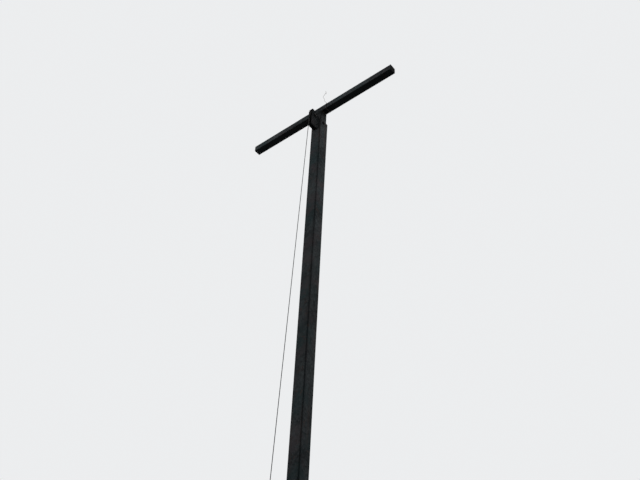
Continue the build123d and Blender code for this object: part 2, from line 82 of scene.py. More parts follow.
class Slot(Enum):
    """The record's material slots, one passed with each new piece."""

    MAST = "mast_steel"
    TOP = "top_steel"
    BRACKET = "bracket_steel"
    ROPE = "rope_wire"
    BOLT = "bolt_zinc"
    PAD = "guide_plastic"
    GRIP = "grip_plastic"
    WIRE = "binding_iron"


@dataclass(frozen=True)
class Span:
    """The lowest and highest corner of a node at rest, in metres."""

    low: Vector
    high: Vector

    @classmethod
    def of(cls, node: str) -> "Span":
        """Reads a node's corners from the frame."""
        low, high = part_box(node)
        return cls(Vector(low), Vector(high))

    @property
    def middle(self) -> Vector:
        """The centre of the span."""
        return (self.low + self.high) / 2

    @property
    def size(self) -> Vector:
        """The span's width, depth and height."""
        return self.high - self.low


class Bench:
    """The steps of hand modelling that the pieces share."""

    @staticmethod
    def clear() -> None:
        """Leaves nothing selected."""
        bpy.ops.object.select_all(action="DESELECT")

    @staticmethod
    def grab(*shapes: Shape) -> None:
        """Selects shapes alone and makes the first one active.

        Args:
            shapes: The shapes to select.
        """
        Bench.clear()
        for shape in shapes:
            shape.select_set(True)
        bpy.context.view_layer.objects.active = shapes[0]

    @staticmethod
    def settle(shape: Shape) -> Shape:
        """Puts a shape's place, turn and size into its mesh.

        Args:
            shape: The shape to settle.

        Returns:
            The same shape, at the origin.
        """
        Bench.grab(shape)
        bpy.ops.object.transform_apply(location=True, rotation=True, scale=True)
        return shape

    @staticmethod
    def fresh(name: str) -> Shape:
        """Names the primitive that was added last, and settles it.

        Args:
            name: The shape's name.

        Returns:
            The new shape.
        """
        shape = bpy.context.active_object
        shape.name = name
        return Bench.settle(shape)

    @staticmethod
    def prism(name: str, sides: int, radius: float, length: float, centre: Sequence[float],
              ends: str = "NGON") -> Shape:
        """Adds a round or many-sided bar along X at its size and place.

        Args:
            name: The shape's name.
            sides: How many sides it has.
            radius: The distance from its axis to its corners.
            length: Its length.
            centre: Its middle.
            ends: How its ends are closed.

        Returns:
            The new shape.
        """
        Bench.clear()
        bpy.ops.mesh.primitive_cylinder_add(
            vertices=sides, radius=radius, depth=length, end_fill_type=ends, location=centre,
            rotation=ALONG_X)
        return Bench.fresh(name)

    @staticmethod
    def disc(name: str, sides: int, radius: float, thick: float, centre: Sequence[float],
             edge: float) -> Shape:
        """Adds a washer or a collar along X.

        Args:
            name: The shape's name.
            sides: How many sides it has.
            radius: Its radius.
            thick: Its thickness.
            centre: Its middle.
            edge: The share of its thickness that each rounded edge takes.

        Returns:
            The new shape.
        """
        shape = Bench.prism(name, sides, radius, thick, centre)
        Bench.bevel(shape, thick * edge)
        return shape

    @staticmethod
    def block(name: str, size: Sequence[float], centre: Sequence[float]) -> Shape:
        """Adds a square bar or plate at its size and place.

        Args:
            name: The shape's name.
            size: Its width, depth and height.
            centre: Its middle.

        Returns:
            The new shape.
        """
        Bench.clear()
        bpy.ops.mesh.primitive_cube_add(size=1.0, location=centre, scale=size)
        return Bench.fresh(name)

    @staticmethod
    def turned(name: str, sides: int, radius: float, length: float, start: Sequence[float],
               outline: Sequence[tuple[float, float]]) -> Shape:
        """Turns a shape along X, as on a lathe.

        Args:
            name: The shape's name.
            sides: How many sides it has.
            radius: The radius that the outline's shares are of.
            length: Its length.
            start: The middle of its first end.
            outline: Shares of the length, each with its share of the radius.

        Returns:
            The closed shape.
        """
        Bench.clear()
        bpy.ops.mesh.primitive_circle_add(
            vertices=sides, radius=radius * outline[0][1], fill_type="NGON", rotation=ALONG_X,
            location=start)
        shape = Bench.fresh(name)
        pairs = zip(outline, outline[1:])
        steps = [((high - low) * length, narrow / wide) for (low, wide), (high, narrow) in pairs]
        with Editing(shape) as edit:
            edit.everything()
            edit.draw_out(steps, start)
            edit.tidy()
        return shape

    @staticmethod
    def curve(name: str, radius: float, capped: bool = True) -> Shape:
        """Adds a curve without points.

        Args:
            name: The curve's name.
            radius: The radius of the round wire along it, or 0 for a bare guide.
            capped: Whether the wire's ends are closed.

        Returns:
            The curve.
        """
        data = bpy.data.curves.new(name, "CURVE")
        data.dimensions = "3D"
        data.bevel_depth = radius
        data.bevel_resolution = 3
        data.use_fill_caps = capped
        shape = bpy.data.objects.new(name, data)
        bpy.context.scene.collection.objects.link(shape)
        return shape

    @staticmethod
    def to_mesh(curve: Shape) -> Shape:
        """Makes a mesh of a curve.

        Args:
            curve: The curve.

        Returns:
            The mesh.
        """
        Bench.grab(curve)
        bpy.ops.object.convert(target="MESH")
        return bpy.context.active_object

    @staticmethod
    def modify(shape: Shape, kind: str, **settings: object) -> None:
        """Adds a modifier to a shape and applies it.

        Args:
            shape: The shape to change.
            kind: The modifier's type.
            settings: The modifier's properties.
        """
        Bench.grab(shape)
        modifier = shape.modifiers.new(kind.lower(), kind)
        for name, value in settings.items():
            setattr(modifier, name, value)
        bpy.ops.object.modifier_apply(modifier=modifier.name)

    @staticmethod
    def bevel(shape: Shape, width: float) -> None:
        """Rounds a shape's sharp edges to a width."""
        Bench.modify(shape, "BEVEL", width=width, segments=2, limit_method="ANGLE")

    @staticmethod
    def repeat(unit: Shape, count: int, step: float, gap: float) -> None:
        """Repeats an open unit along X and closes it up.

        Args:
            unit: The unit, whose ends match.
            count: How many units the row has.
            step: The unit's length.
            gap: The distance under which the corners of neighbours merge.
        """
        Bench.modify(
            unit, "ARRAY", fit_type="FIXED_COUNT", count=count, use_relative_offset=False,
            use_constant_offset=True, constant_offset_displace=(step, 0.0, 0.0),
            use_merge_vertices=True, merge_threshold=gap)

    @staticmethod
    def copy(shape: Shape, name: str, place: Matrix) -> Shape:
        """Copies a shape with its own mesh.

        Args:
            shape: The shape to copy.
            name: The copy's name.
            place: Where the copy goes.

        Returns:
            The copy.
        """
        Bench.grab(shape)
        bpy.ops.object.duplicate(linked=False)
        twin = bpy.context.active_object
        twin.name = name
        twin.matrix_world = place
        return Bench.settle(twin)

    @staticmethod
    def join(name: str, parts: Sequence[Shape]) -> Shape:
        """Makes one shape of several.

        Args:
            name: The whole shape's name.
            parts: The shapes that go into it.

        Returns:
            The whole shape.
        """
        Bench.grab(*parts)
        if len(parts) > 1:
            bpy.ops.object.join()
        whole = bpy.context.active_object
        whole.name = name
        return whole

    @staticmethod
    def assemble(name: str, parts: Sequence[Shape], angle: float = SHARP_EDGE) -> Shape:
        """Joins parts and shades the whole smooth.

        Args:
            name: The whole shape's name.
            parts: The shapes that go into it.
            angle: The angle from which an edge stays sharp.

        Returns:
            The whole shape.
        """
        whole = Bench.join(name, parts)
        Bench.smooth(whole, angle)
        return whole

    @staticmethod
    def smooth(shape: Shape, angle: float = SHARP_EDGE) -> None:
        """Shades a shape smooth, apart from the edges that turn by more than an angle."""
        Bench.grab(shape)
        bpy.ops.object.shade_smooth_by_angle(angle=angle)


class Editing:
    """Edit mode on one shape, where nothing is selected at first."""

    def __init__(self, shape: Shape) -> None:
        """Names the shape to edit."""
        self.shape = shape

    def __enter__(self) -> "Editing":
        """Enters edit mode.

        Returns:
            This helper.
        """
        Bench.grab(self.shape)
        bpy.ops.object.mode_set(mode="EDIT")
        bpy.ops.mesh.select_all(action="DESELECT")
        return self

    def __exit__(self, *_: object) -> None:
        """Leaves edit mode."""
        bpy.ops.object.mode_set(mode="OBJECT")

    def _pick(self, mode: str, group: str, test: Callable[[object], bool]) -> None:
        """Selects the elements that pass a test, and no others.

        Args:
            mode: The select mode's name.
            group: The mesh's list of elements.
            test: Says whether an element is wanted.
        """
        bpy.ops.mesh.select_all(action="DESELECT")
        bpy.ops.mesh.select_mode(type=mode)
        mesh = bmesh.from_edit_mesh(self.shape.data)
        for element in getattr(mesh, group):
            element.select_set(test(element))
        mesh.select_flush_mode()
        bmesh.update_edit_mesh(self.shape.data)

    def faces(self, test: Callable[[bmesh.types.BMFace], bool]) -> None:
        """Selects the faces that pass a test."""
        self._pick("FACE", "faces", test)

    def outer_end(self) -> None:
        """Selects the faces that look along +X."""
        self.faces(lambda face: face.normal.x > FACING)

    def corners(self, test: Callable[[bmesh.types.BMVert], bool]) -> None:
        """Selects the corners that pass a test."""
        self._pick("VERT", "verts", test)

    def everything(self) -> None:
        """Selects the whole mesh."""
        bpy.ops.mesh.select_all(action="SELECT")

    def draw_out(self, steps: Iterable[tuple[float, float]], axis: Sequence[float]) -> None:
        """Extrudes what is selected along X in steps, each wider or narrower than the one before.

        Args:
            steps: Each step's length and its radius as a share of the last one's.
            axis: A point on the axis.
        """
        for rise, share in steps:
            bpy.ops.mesh.extrude_region_move(TRANSFORM_OT_translate={"value": (rise, 0.0, 0.0)})
            bpy.ops.transform.resize(value=(1.0, share, share), center_override=axis)

    def tidy(self) -> None:
        """Merges doubles, closes holes and turns every face outwards."""
        self.everything()
        bpy.ops.mesh.remove_doubles(threshold=SAME_SPOT)
        bpy.ops.mesh.fill_holes(sides=0)
        bpy.ops.mesh.normals_make_consistent(inside=False)


class NodeSheet:
    """Adds nodes to one shader tree and links them."""

    def __init__(self, tree: bpy.types.NodeTree) -> None:
        """Starts an empty sheet on a tree, whose old nodes are removed."""
        self.tree = tree
        tree.nodes.clear()

    def feed(self, socket: Socket, value: object) -> None:
        """Links a socket or sets its value.

        Args:
            socket: The input socket.
            value: Another socket, a colour or a number.
        """
        if isinstance(value, Socket):
            self.tree.links.new(value, socket)
        elif isinstance(value, tuple) and socket.type == "RGBA":
            socket.default_value = (*value[:3], 1.0)
        else:
            socket.default_value = value

    def add(self, kind: str, inputs: dict | None = None, **settings: object) -> bpy.types.Node:
        """Adds one node.

        Args:
            kind: The node's type without the ShaderNode prefix.
            inputs: Socket names or numbers, each with a value or a socket to link from.
            settings: Properties of the node itself.

        Returns:
            The new node.
        """
        prefix = "" if kind.startswith("NodeGroup") else "ShaderNode"
        node = self.tree.nodes.new(prefix + kind)
        for name, value in settings.items():
            setattr(node, name, value)
        for name, value in (inputs or {}).items():
            self.feed(node.inputs[name], value)
        return node

    def maths(self, operation: str, first: object, second: object = 0.0, clamp: bool = False) -> Socket:
        """Adds a Math node and gives its result."""
        return self.add("Math", {0: first, 1: second}, operation=operation, use_clamp=clamp).outputs[0]

    def remap(self, value: object, low: float, high: float, to_low: float = 0.0,
              to_high: float = 1.0) -> Socket:
        """Maps the values from low to high onto another range, clamped."""
        inputs = {"Value": value, "From Min": low, "From Max": high, "To Min": to_low, "To Max": to_high}
        return self.add("MapRange", inputs, clamp=True).outputs[0]

    def mix(self, factor: object, first: object, second: object) -> Socket:
        """Mixes two colours, where the factor is the share of the second."""
        return self.add("Mix", {0: factor, 6: first, 7: second}, data_type="RGBA").outputs[2]

    def overlay(self, under: object, over: object, mask: Socket, amount: float) -> Socket:
        """Lays one colour over another where a mask says, at most by an amount."""
        return self.mix(self.maths("MULTIPLY", mask, amount), under, over)

    def noise(self, place: object, scale: float, detail: float = 3.0) -> Socket:
        """Adds a Noise texture and gives its value, around 0.5."""
        return self.add("TexNoise", {"Vector": place, "Scale": scale, "Detail": detail}).outputs[0]

    def group(self, tree: bpy.types.NodeTree, inputs: dict) -> bpy.types.Node:
        """Places a shared effect, with its inputs by name."""
        return self.add("Group", inputs, node_tree=tree)

    def flecks(self, place: Socket, size: float, share: float, softness: float = 0.04) -> Socket:
        """Places the shared flecks and gives their mask."""
        inputs = {"Vector": place, "Size": size, "Share": share, "Softness": softness}
        return self.group(Effects.flecks(), inputs).outputs["Mask"]


class Effects:
    """The effects that several finishes share, each a node group that is built once."""

    @staticmethod
    def _begin(name: str, takes: dict[str, object], gives: Sequence[str]) -> tuple[NodeSheet, dict, dict]:
        """Starts a node group with its sockets.

        Args:
            name: The group's name.
            takes: Its inputs, each with a default value, or None for a vector.
            gives: Its value outputs.

        Returns:
            The sheet, the inputs' sockets and the outputs' sockets by name.
        """
        tree = bpy.data.node_groups.new(name, "ShaderNodeTree")
        for label, default in takes.items():
            kind = "NodeSocketVector" if default is None else "NodeSocketFloat"
            socket = tree.interface.new_socket(name=label, in_out="INPUT", socket_type=kind)
            if default is not None:
                socket.default_value = default
        for label in gives:
            tree.interface.new_socket(name=label, in_out="OUTPUT", socket_type="NodeSocketFloat")
        sheet = NodeSheet(tree)
        entry = sheet.add("NodeGroupInput").outputs
        leave = sheet.add("NodeGroupOutput").inputs
        return sheet, {label: entry[label] for label in takes}, {label: leave[label] for label in gives}

    @staticmethod
    @cache
    def mottle() -> bpy.types.NodeTree:
        """Uneven tone of weathered metal: broad clouds, grain cells and fine specks.

        Returns:
            A group with Vector, Clouds, Cells and Specks in, and Tone and Height out, both around 0.5.
        """
        takes = {"Vector": None, "Clouds": 5.0, "Cells": 80.0, "Specks": 320.0}
        sheet, given, result = Effects._begin("Mottle", takes, ("Tone", "Height"))
        place = given["Vector"]
        clouds = sheet.noise(place, given["Clouds"], 5.0)
        warp = sheet.add("TexNoise", {"Vector": place, "Scale": given["Cells"], "Detail": 3.0})
        shift = sheet.add("VectorMath", {0: warp.outputs["Color"], "Scale": 0.012}, operation="SCALE")
        bent = sheet.add("VectorMath", {0: place, 1: shift.outputs[0]}, operation="ADD")
        cells = sheet.add("TexVoronoi", {"Vector": bent.outputs[0], "Scale": given["Cells"]})
        cell_tone = sheet.add("SeparateColor", {"Color": cells.outputs["Color"]})
        specks = sheet.noise(place, given["Specks"], 2.0)
        broad = sheet.remap(clouds, 0.3, 0.7, -0.24, 0.24)
        middle = sheet.remap(cell_tone.outputs[0], 0.0, 1.0, -0.20, 0.20)
        fine = sheet.maths("ADD", sheet.remap(specks, 0.3, 0.7, -0.24, 0.24), 0.5)
        sheet.feed(result["Tone"], sheet.maths("ADD", sheet.maths("ADD", broad, middle), fine, clamp=True))
        sheet.feed(result["Height"], sheet.maths("ADD", sheet.maths("MULTIPLY", middle, 0.4), fine))
        return sheet.tree

    @staticmethod
    @cache
    def streaks() -> bpy.types.NodeTree:
        """Long upright runs of dirt and rust.

        Returns:
            A group with Vector, Across, Along and Amount in, and Mask out.
        """
        takes = {"Vector": None, "Across": 60.0, "Along": 1.4, "Amount": 0.5}
        sheet, given, result = Effects._begin("Streaks", takes, ("Mask",))
        scale = sheet.add("CombineXYZ", {0: given["Across"], 1: given["Across"], 2: given["Along"]})
        stretched = sheet.add("VectorMath", {0: given["Vector"], 1: scale.outputs[0]}, operation="MULTIPLY")
        thin = sheet.remap(sheet.noise(stretched.outputs[0], 1.0, 4.0), 0.52, 0.70)
        region = sheet.remap(sheet.noise(given["Vector"], 2.3, 2.0), 0.42, 0.62)
        runs = sheet.maths("MULTIPLY", thin, region)
        sheet.feed(result["Mask"], sheet.maths("MULTIPLY", runs, given["Amount"], clamp=True))
        return sheet.tree

    @staticmethod
    @cache
    def flecks() -> bpy.types.NodeTree:
        """Ragged islands, such as chips in paint or spots of rust.

        Returns:
            A group with Vector, Size, Share and Softness in, and Mask out. A larger share covers more.
        """
        takes = {"Vector": None, "Size": 40.0, "Share": 0.4, "Softness": 0.04}
        sheet, given, result = Effects._begin("Flecks", takes, ("Mask",))
        coarse = sheet.noise(given["Vector"], given["Size"], 6.0)
        ragged = sheet.noise(given["Vector"], sheet.maths("MULTIPLY", given["Size"], 4.0), 4.0)
        uneven = sheet.maths("MULTIPLY", sheet.maths("SUBTRACT", ragged, 0.5), 0.25)
        level = sheet.maths("ADD", coarse, uneven)
        above = sheet.maths("SUBTRACT", level, sheet.maths("SUBTRACT", 1.0, given["Share"]))
        sheet.feed(result["Mask"], sheet.maths("DIVIDE", above, given["Softness"], clamp=True))
        return sheet.tree

    @staticmethod
    @cache
    def corner_band() -> bpy.types.NodeTree:
        """A band along the four corners of a square tube whose axis is the vector's Z.

        Returns:
            A group with Vector, From and Full in, distances from the tube's axis, and Mask out.
        """
        takes = {"Vector": None, "From": 0.02, "Full": 0.03}
        sheet, given, result = Effects._begin("CornerBand", takes, ("Mask",))
        split = sheet.add("SeparateXYZ", {0: given["Vector"]}).outputs
        near = sheet.maths("MINIMUM", sheet.maths("ABSOLUTE", split[0]), sheet.maths("ABSOLUTE", split[1]))
        cloud = sheet.maths("SUBTRACT", sheet.noise(given["Vector"], 22.0, 4.0), 0.5)
        wavy = sheet.maths("ADD", near, sheet.maths("MULTIPLY", cloud, 14.0 * MM))
        rise = sheet.maths("SUBTRACT", wavy, given["From"])
        length = sheet.maths("SUBTRACT", given["Full"], given["From"])
        sheet.feed(result["Mask"], sheet.maths("DIVIDE", rise, length, clamp=True))
        return sheet.tree

    @staticmethod
    @cache
    def ring_band() -> bpy.types.NodeTree:
        """A ring about the vector's X axis, such as a groove that a rope has polished.

        Returns:
            A group with Vector, Radius and Width in, and Mask out.
        """
        takes = {"Vector": None, "Radius": 0.04, "Width": 0.004}
        sheet, given, result = Effects._begin("RingBand", takes, ("Mask",))
        split = sheet.add("SeparateXYZ", {0: given["Vector"]}).outputs
        flat = sheet.add("CombineXYZ", {1: split[1], 2: split[2]})
        radius = sheet.add("VectorMath", {0: flat.outputs[0]}, operation="LENGTH").outputs["Value"]
        off = sheet.maths("ABSOLUTE", sheet.maths("SUBTRACT", radius, given["Radius"]))
        share = sheet.maths("DIVIDE", off, given["Width"])
        sheet.feed(result["Mask"], sheet.maths("SUBTRACT", 1.0, share, clamp=True))
        return sheet.tree


def blank_material(name: str) -> tuple[bpy.types.Material, NodeSheet]:
    """Starts a material.

    Args:
        name: The material's name.

    Returns:
        The material and its empty sheet.
    """
    material = bpy.data.materials.new(name)
    material.use_nodes = True
    return material, NodeSheet(material.node_tree)


@dataclass(frozen=True)
class Finish:
    """What all finishes share: the steps that make a material of the surface that each works out."""

    name: str

    def look(self, sheet: NodeSheet, place: Socket) -> tuple[Inputs, Inputs]:
        """Gives the shader's inputs, and those of the relief that its normal follows."""
        raise NotImplementedError

    def build(self) -> bpy.types.Material:
        """Makes the material.

        Returns:
            The finished material.
        """
        material, sheet = blank_material(self.name)
        surface, relief = self.look(sheet, sheet.add("TexCoord").outputs["Object"])
        normal = sheet.add("Bump", relief).outputs[0]
        shader = sheet.add("BsdfPrincipled", {**surface, "Normal": normal})
        sheet.add("OutputMaterial", {"Surface": shader.outputs[0]})
        return material


@dataclass(frozen=True)
class Corner:
    """Where a square tube's corners are darker: its axis and turn, the band's reach and its darkness."""

    axis: Point
    turn: Point
    start: float
    full: float
    strength: float


@dataclass(frozen=True)
class SteelFinish(Finish):
    """Weathered steel: mottled, with cool and warm clouds, pale flecks, painted shade and dirt by height,
    darker corner bands and runs of rust.
    """

    dark: Colour = (0.0080, 0.0100, 0.0108)
    light: Colour = (0.0310, 0.0375, 0.0400)
    cool: Colour = (0.0125, 0.0260, 0.0280)
    warm: Colour = (0.0330, 0.0275, 0.0300)
    rust: Colour = (0.0330, 0.0190, 0.0150)
    pale: Colour = (0.0620, 0.0660, 0.0680)
    # The dark tone that painted shade and dirt by height, and the corner bands, darken towards.
    soot_and_shade: Colour = (0.0070, 0.0085, 0.0095)
    clouds: float = 5.0
    cells: float = 80.0
    specks: float = 320.0
    contrast: tuple[float, float] = (0.23, 0.77)
    cool_clouds: float = 7.0
    cool_range: tuple[float, float] = (0.50, 0.64)
    warm_clouds: float = 11.0
    warm_range: tuple[float, float] = (0.52, 0.66)
    cloud_strength: float = 0.7
    pale_size: float = 95.0
    pale_share: float = 0.33
    pale_strength: float = 0.7
    streak_amount: float = 0.45
    spot_size: float = 36.0
    spot_share: float = 0.34
    spot_strength: float = 0.6
    # How much painted shade and dirt darken the steel by height, and the heights where that is full and
    # where it is gone.
    grime_and_shade: float = 0.0
    grime_and_shade_reach: tuple[float, float] = (2.6, 6.0)
    roughness: tuple[float, float] = (0.66, 0.86)
    shine_range: tuple[float, float] = (0.2, 0.8)
    specular: float = 0.04
    bump: float = 0.35
    bump_depth: float = 0.4 * MM
    corner: Corner | None = None

    def look(self, sheet: NodeSheet, place: Socket) -> tuple[Inputs, Inputs]:
        """Works out the steel.

        Args:
            sheet: The material's sheet.
            place: The coordinates on the object.

        Returns:
            The shader's inputs, and those of the relief that its normal follows.
        """
        sizes = {"Vector": place, "Clouds": self.clouds, "Cells": self.cells, "Specks": self.specks}
        tone, height = sheet.group(Effects.mottle(), sizes).outputs
        steel = sheet.mix(sheet.remap(tone, *self.contrast), self.dark, self.light)
        cool = sheet.noise(place, self.cool_clouds, 3.0)
        cool = sheet.remap(cool, *self.cool_range, 0.0, self.cloud_strength)
        steel = sheet.mix(cool, steel, self.cool)
        warm = sheet.noise(place, self.warm_clouds, 4.0)
        warm = sheet.remap(warm, *self.warm_range, 0.0, self.cloud_strength)
        steel = sheet.mix(warm, steel, self.warm)
        pale = sheet.flecks(place, self.pale_size, self.pale_share)
        steel = sheet.overlay(steel, self.pale, pale, self.pale_strength)
        # Painted shade and dirt: darker by height, full at the first height of the reach and gone at the
        # second.
        if self.grime_and_shade:
            up = sheet.add("SeparateXYZ", {0: place}).outputs[2]
            steel = sheet.mix(sheet.remap(up, *self.grime_and_shade_reach, self.grime_and_shade, 0.0), steel, self.soot_and_shade)
        # A darker band along a square tube's corners.
        if self.corner:
            mapping = {"Vector": place, "Location": self.corner.axis, "Rotation": self.corner.turn}
            centred = sheet.add("Mapping", mapping, vector_type="TEXTURE").outputs[0]
            reach = {"Vector": centred, "From": self.corner.start, "Full": self.corner.full}
            band = sheet.group(Effects.corner_band(), reach).outputs["Mask"]
            steel = sheet.overlay(steel, self.soot_and_shade, band, self.corner.strength)
        runs = sheet.group(Effects.streaks(), {"Vector": place, "Amount": self.streak_amount})
        steel = sheet.mix(runs.outputs["Mask"], steel, self.rust)
        spots = sheet.flecks(place, self.spot_size, self.spot_share)
        steel = sheet.overlay(steel, self.rust, spots, self.spot_strength)
        smooth, rough = self.roughness
        surface = {
            "Base Color": steel,
            "Roughness": sheet.remap(tone, *self.shine_range, rough, smooth),
            "Specular IOR Level": self.specular,
        }
        return surface, {"Height": height, "Strength": self.bump, "Distance": self.bump_depth}


@dataclass(frozen=True)
class Ring:
    """Where a rope or another wheel has polished a ring about X: its middle, its radius and its width."""

    axis: Point
    radius: float
    width: float
    brighter: float = 1.6
    smoother: float = 0.22


@dataclass(frozen=True)
class MetalFinish(Finish):
    """Bare metal that has dulled: bolts, wire and cast iron, with an optional polished ring."""

    dull: Colour
    bright: Colour
    metallic: float
    roughness: tuple[float, float]
    stain: Colour = (0.060, 0.028, 0.014)
    specular: float = 0.4
    grain: float = 420.0
    grain_to_cloud: float = 12.0
    contrast: tuple[float, float] = (0.72, 1.28)
    stain_size: float = 120.0
    stain_share: float = 0.42
    stain_softness: float = 0.1
    stain_strength: float = 0.75
    stain_rougher: float = 0.2
    bump: float = 0.5
    bump_depth: float = 0.15 * MM
    ring: Ring | None = None

    def look(self, sheet: NodeSheet, place: Socket) -> tuple[Inputs, Inputs]:
        """Works out the metal.

        Args:
            sheet: The material's sheet.
            place: The coordinates on the object.

        Returns:
            The shader's inputs, and those of the relief that its normal follows.
        """
        grain = sheet.noise(place, self.grain, 4.0)
        cloud = sheet.noise(place, self.grain / self.grain_to_cloud, 4.0)
        tone = sheet.remap(sheet.maths("ADD", grain, cloud), *self.contrast)
        stains = sheet.flecks(place, self.stain_size, self.stain_share, self.stain_softness)
        metal = sheet.mix(tone, self.dull, self.bright)
        metal = sheet.overlay(metal, self.stain, stains, self.stain_strength)
        smooth, coarse = self.roughness
        shine = sheet.remap(tone, 0.0, 1.0, coarse, smooth)
        rough = sheet.maths("ADD", shine, sheet.maths("MULTIPLY", stains, self.stain_rougher), clamp=True)
        if self.ring:
            mapping = {"Vector": place, "Location": self.ring.axis}
            centred = sheet.add("Mapping", mapping, vector_type="TEXTURE").outputs[0]
            reach = {"Vector": centred, "Radius": self.ring.radius, "Width": self.ring.width}
            worn = sheet.group(Effects.ring_band(), reach).outputs["Mask"]
            metal = sheet.mix(worn, metal, tuple(self.ring.brighter * part for part in self.bright))
            polish = sheet.maths("MULTIPLY", worn, self.ring.smoother)
            rough = sheet.maths("SUBTRACT", rough, polish, clamp=True)
        surface = {
            "Base Color": metal,
            "Roughness": rough,
            "Metallic": self.metallic,
            "Specular IOR Level": self.specular,
        }
        return surface, {"Height": grain, "Strength": self.bump, "Distance": self.bump_depth}


@dataclass(frozen=True)
class PaintFinish(Finish):
    """Old paint on steel: faded, streaked with dirt, and chipped through to rust."""

    paint: Colour
    faded: Colour
    bare: Colour = (0.045, 0.024, 0.015)
    fade_size: float = 14.0
    fade_range: tuple[float, float] = (0.35, 0.65)
    chip_size: float = 55.0
    chip_share: float = 0.41
    chip_softness: float = 0.015
    chip_rougher: float = 0.3
    streak_across: float = 160.0
    streak_along: float = 9.0
    peel: float = 260.0
    peel_height: float = 0.3
    roughness: tuple[float, float] = (0.42, 0.60)
    specular: float = 0.35
    bump: float = 0.5
    bump_depth: float = 0.25 * MM

    def look(self, sheet: NodeSheet, place: Socket) -> tuple[Inputs, Inputs]:
        """Works out the paint.

        Args:
            sheet: The material's sheet.
            place: The coordinates on the object.

        Returns:
            The shader's inputs, and those of the relief that its normal follows.
        """
        fade = sheet.remap(sheet.noise(place, self.fade_size, 5.0), *self.fade_range)
        chips = sheet.flecks(place, self.chip_size, self.chip_share, self.chip_softness)
        sizes = {"Vector": place, "Across": self.streak_across, "Along": self.streak_along}
        runs = sheet.group(Effects.streaks(), sizes)
        paint = sheet.mix(fade, self.paint, self.faded)
        paint = sheet.mix(runs.outputs["Mask"], paint, self.bare)
        paint = sheet.mix(chips, paint, self.bare)
        rough = sheet.remap(fade, 0.0, 1.0, *self.roughness)
        peel = sheet.maths("MULTIPLY", sheet.noise(place, self.peel, 3.0), self.peel_height)
        surface = {
            "Base Color": paint,
            "Roughness": sheet.maths("ADD", rough, sheet.maths("MULTIPLY", chips, self.chip_rougher)),
            "Specular IOR Level": self.specular,
        }
        height = sheet.maths("SUBTRACT", peel, chips)
        return surface, {"Height": height, "Strength": self.bump, "Distance": self.bump_depth}


@dataclass(frozen=True)
class PlasticFinish(Finish):
    """Moulded plastic: fine grain, and dust that greys it."""

    colour: Colour
    dusty: Colour
    dust_size: float = 32.0
    dust_range: tuple[float, float] = (0.42, 0.68)
    dust_strength: float = 0.7
    grain: float = 900.0
    roughness: tuple[float, float] = (0.48, 0.68)
    shine_range: tuple[float, float] = (0.5, 1.4)
    specular: float = 0.4
    bump: float = 0.6
    bump_depth: float = 0.12 * MM

    def look(self, sheet: NodeSheet, place: Socket) -> tuple[Inputs, Inputs]:
        """Works out the plastic.

        Args:
            sheet: The material's sheet.
            place: The coordinates on the object.

        Returns:
            The shader's inputs, and those of the relief that its normal follows.
        """
        grain = sheet.noise(place, self.grain, 3.0)
        dust = sheet.remap(sheet.noise(place, self.dust_size, 5.0), *self.dust_range)
        shine = sheet.maths("ADD", dust, grain)
        surface = {
            "Base Color": sheet.overlay(self.colour, self.dusty, dust, self.dust_strength),
            "Roughness": sheet.remap(shine, *self.shine_range, *self.roughness),
            "Specular IOR Level": self.specular,
        }
        return surface, {"Height": grain, "Strength": self.bump, "Distance": self.bump_depth}


def coat(shape: Shape, material: bpy.types.Material) -> None:
    """Gives a shape one material and no other."""
    shape.data.materials.clear()
    shape.data.materials.append(material)


def deliver(shape: Shape, body: Body, slot: Slot, material: bpy.types.Material,
            stands_for: Sequence[str] = ()) -> None:
    """Finishes a new piece: its material, its body and the nodes that it stands for.

    Args:
        shape: The finished shape, settled at the origin.
        body: The body that it rides on.
        slot: The record's slot for the piece; not used.
        material: Its material.
        stands_for: The CAD nodes that it replaces.
    """
    coat(shape, material)
    for face in shape.data.polygons:
        face.material_index = 0
    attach(shape, body.value)
    if stands_for:
        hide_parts(*stands_for)
    LOG.info("%s: %d faces on %s", shape.name, len(shape.data.polygons), body.value)


class Route:
    """A line of straight runs and bends that a rope or a wire follows, in evenly spaced points."""

    def __init__(self, start: Vector, spacing: float) -> None:
        """Starts the route at its first point, with about this distance between its points."""
        self.points = [start.copy()]
        self.spacing = spacing

    def run(self, end: Vector) -> "Route":
        """Adds a straight run.

        Args:
            end: The run's end.

        Returns:
            This route.
        """
        start = self.points[-1].copy()
        steps = max(1, round((end - start).length / self.spacing))
        self.points += [start.lerp(end, step / steps) for step in range(1, steps + 1)]
        return self

    def bend(self, place: Callable[[float], Vector], start: float, end: float) -> "Route":
        """Adds a bend.

        Args:
            place: Gives the bend's point at an angle.
            start: The first angle.
            end: The last angle.

        Returns:
            This route.
        """
        middle = (start + end) / 2
        nudge = (end - start) * 1e-4
        speed = (place(middle + nudge) - place(middle)).length / abs(nudge)
        steps = max(2, round(abs(end - start) * speed / self.spacing))
        self.points += [place(start + (end - start) * step / steps) for step in range(1, steps + 1)]
        return self

    @property
    def length(self) -> float:
        """The route's length."""
        return sum((b - a).length for a, b in zip(self.points, self.points[1:]))

    def line(self, name: str, radius: float = 0.0, closed: bool = False) -> Shape:
        """Makes a curve of the route.

        Args:
            name: The curve's name.
            radius: The radius of the round wire along it, or 0 for a bare guide.
            closed: Whether its end joins its start.

        Returns:
            The curve.
        """
        shape = Bench.curve(name, radius, capped=not closed)
        spline = shape.data.splines.new("POLY")
        spline.points.add(len(self.points) - 1)
        for knot, point in zip(spline.points, self.points):
            knot.co = (*point, 1.0)
        spline.use_cyclic_u = closed
        return shape

    def wire(self, name: str, radius: float, closed: bool = False) -> Shape:
        """Makes a round wire of the route, as a mesh."""
        return Bench.to_mesh(self.line(name, radius, closed))


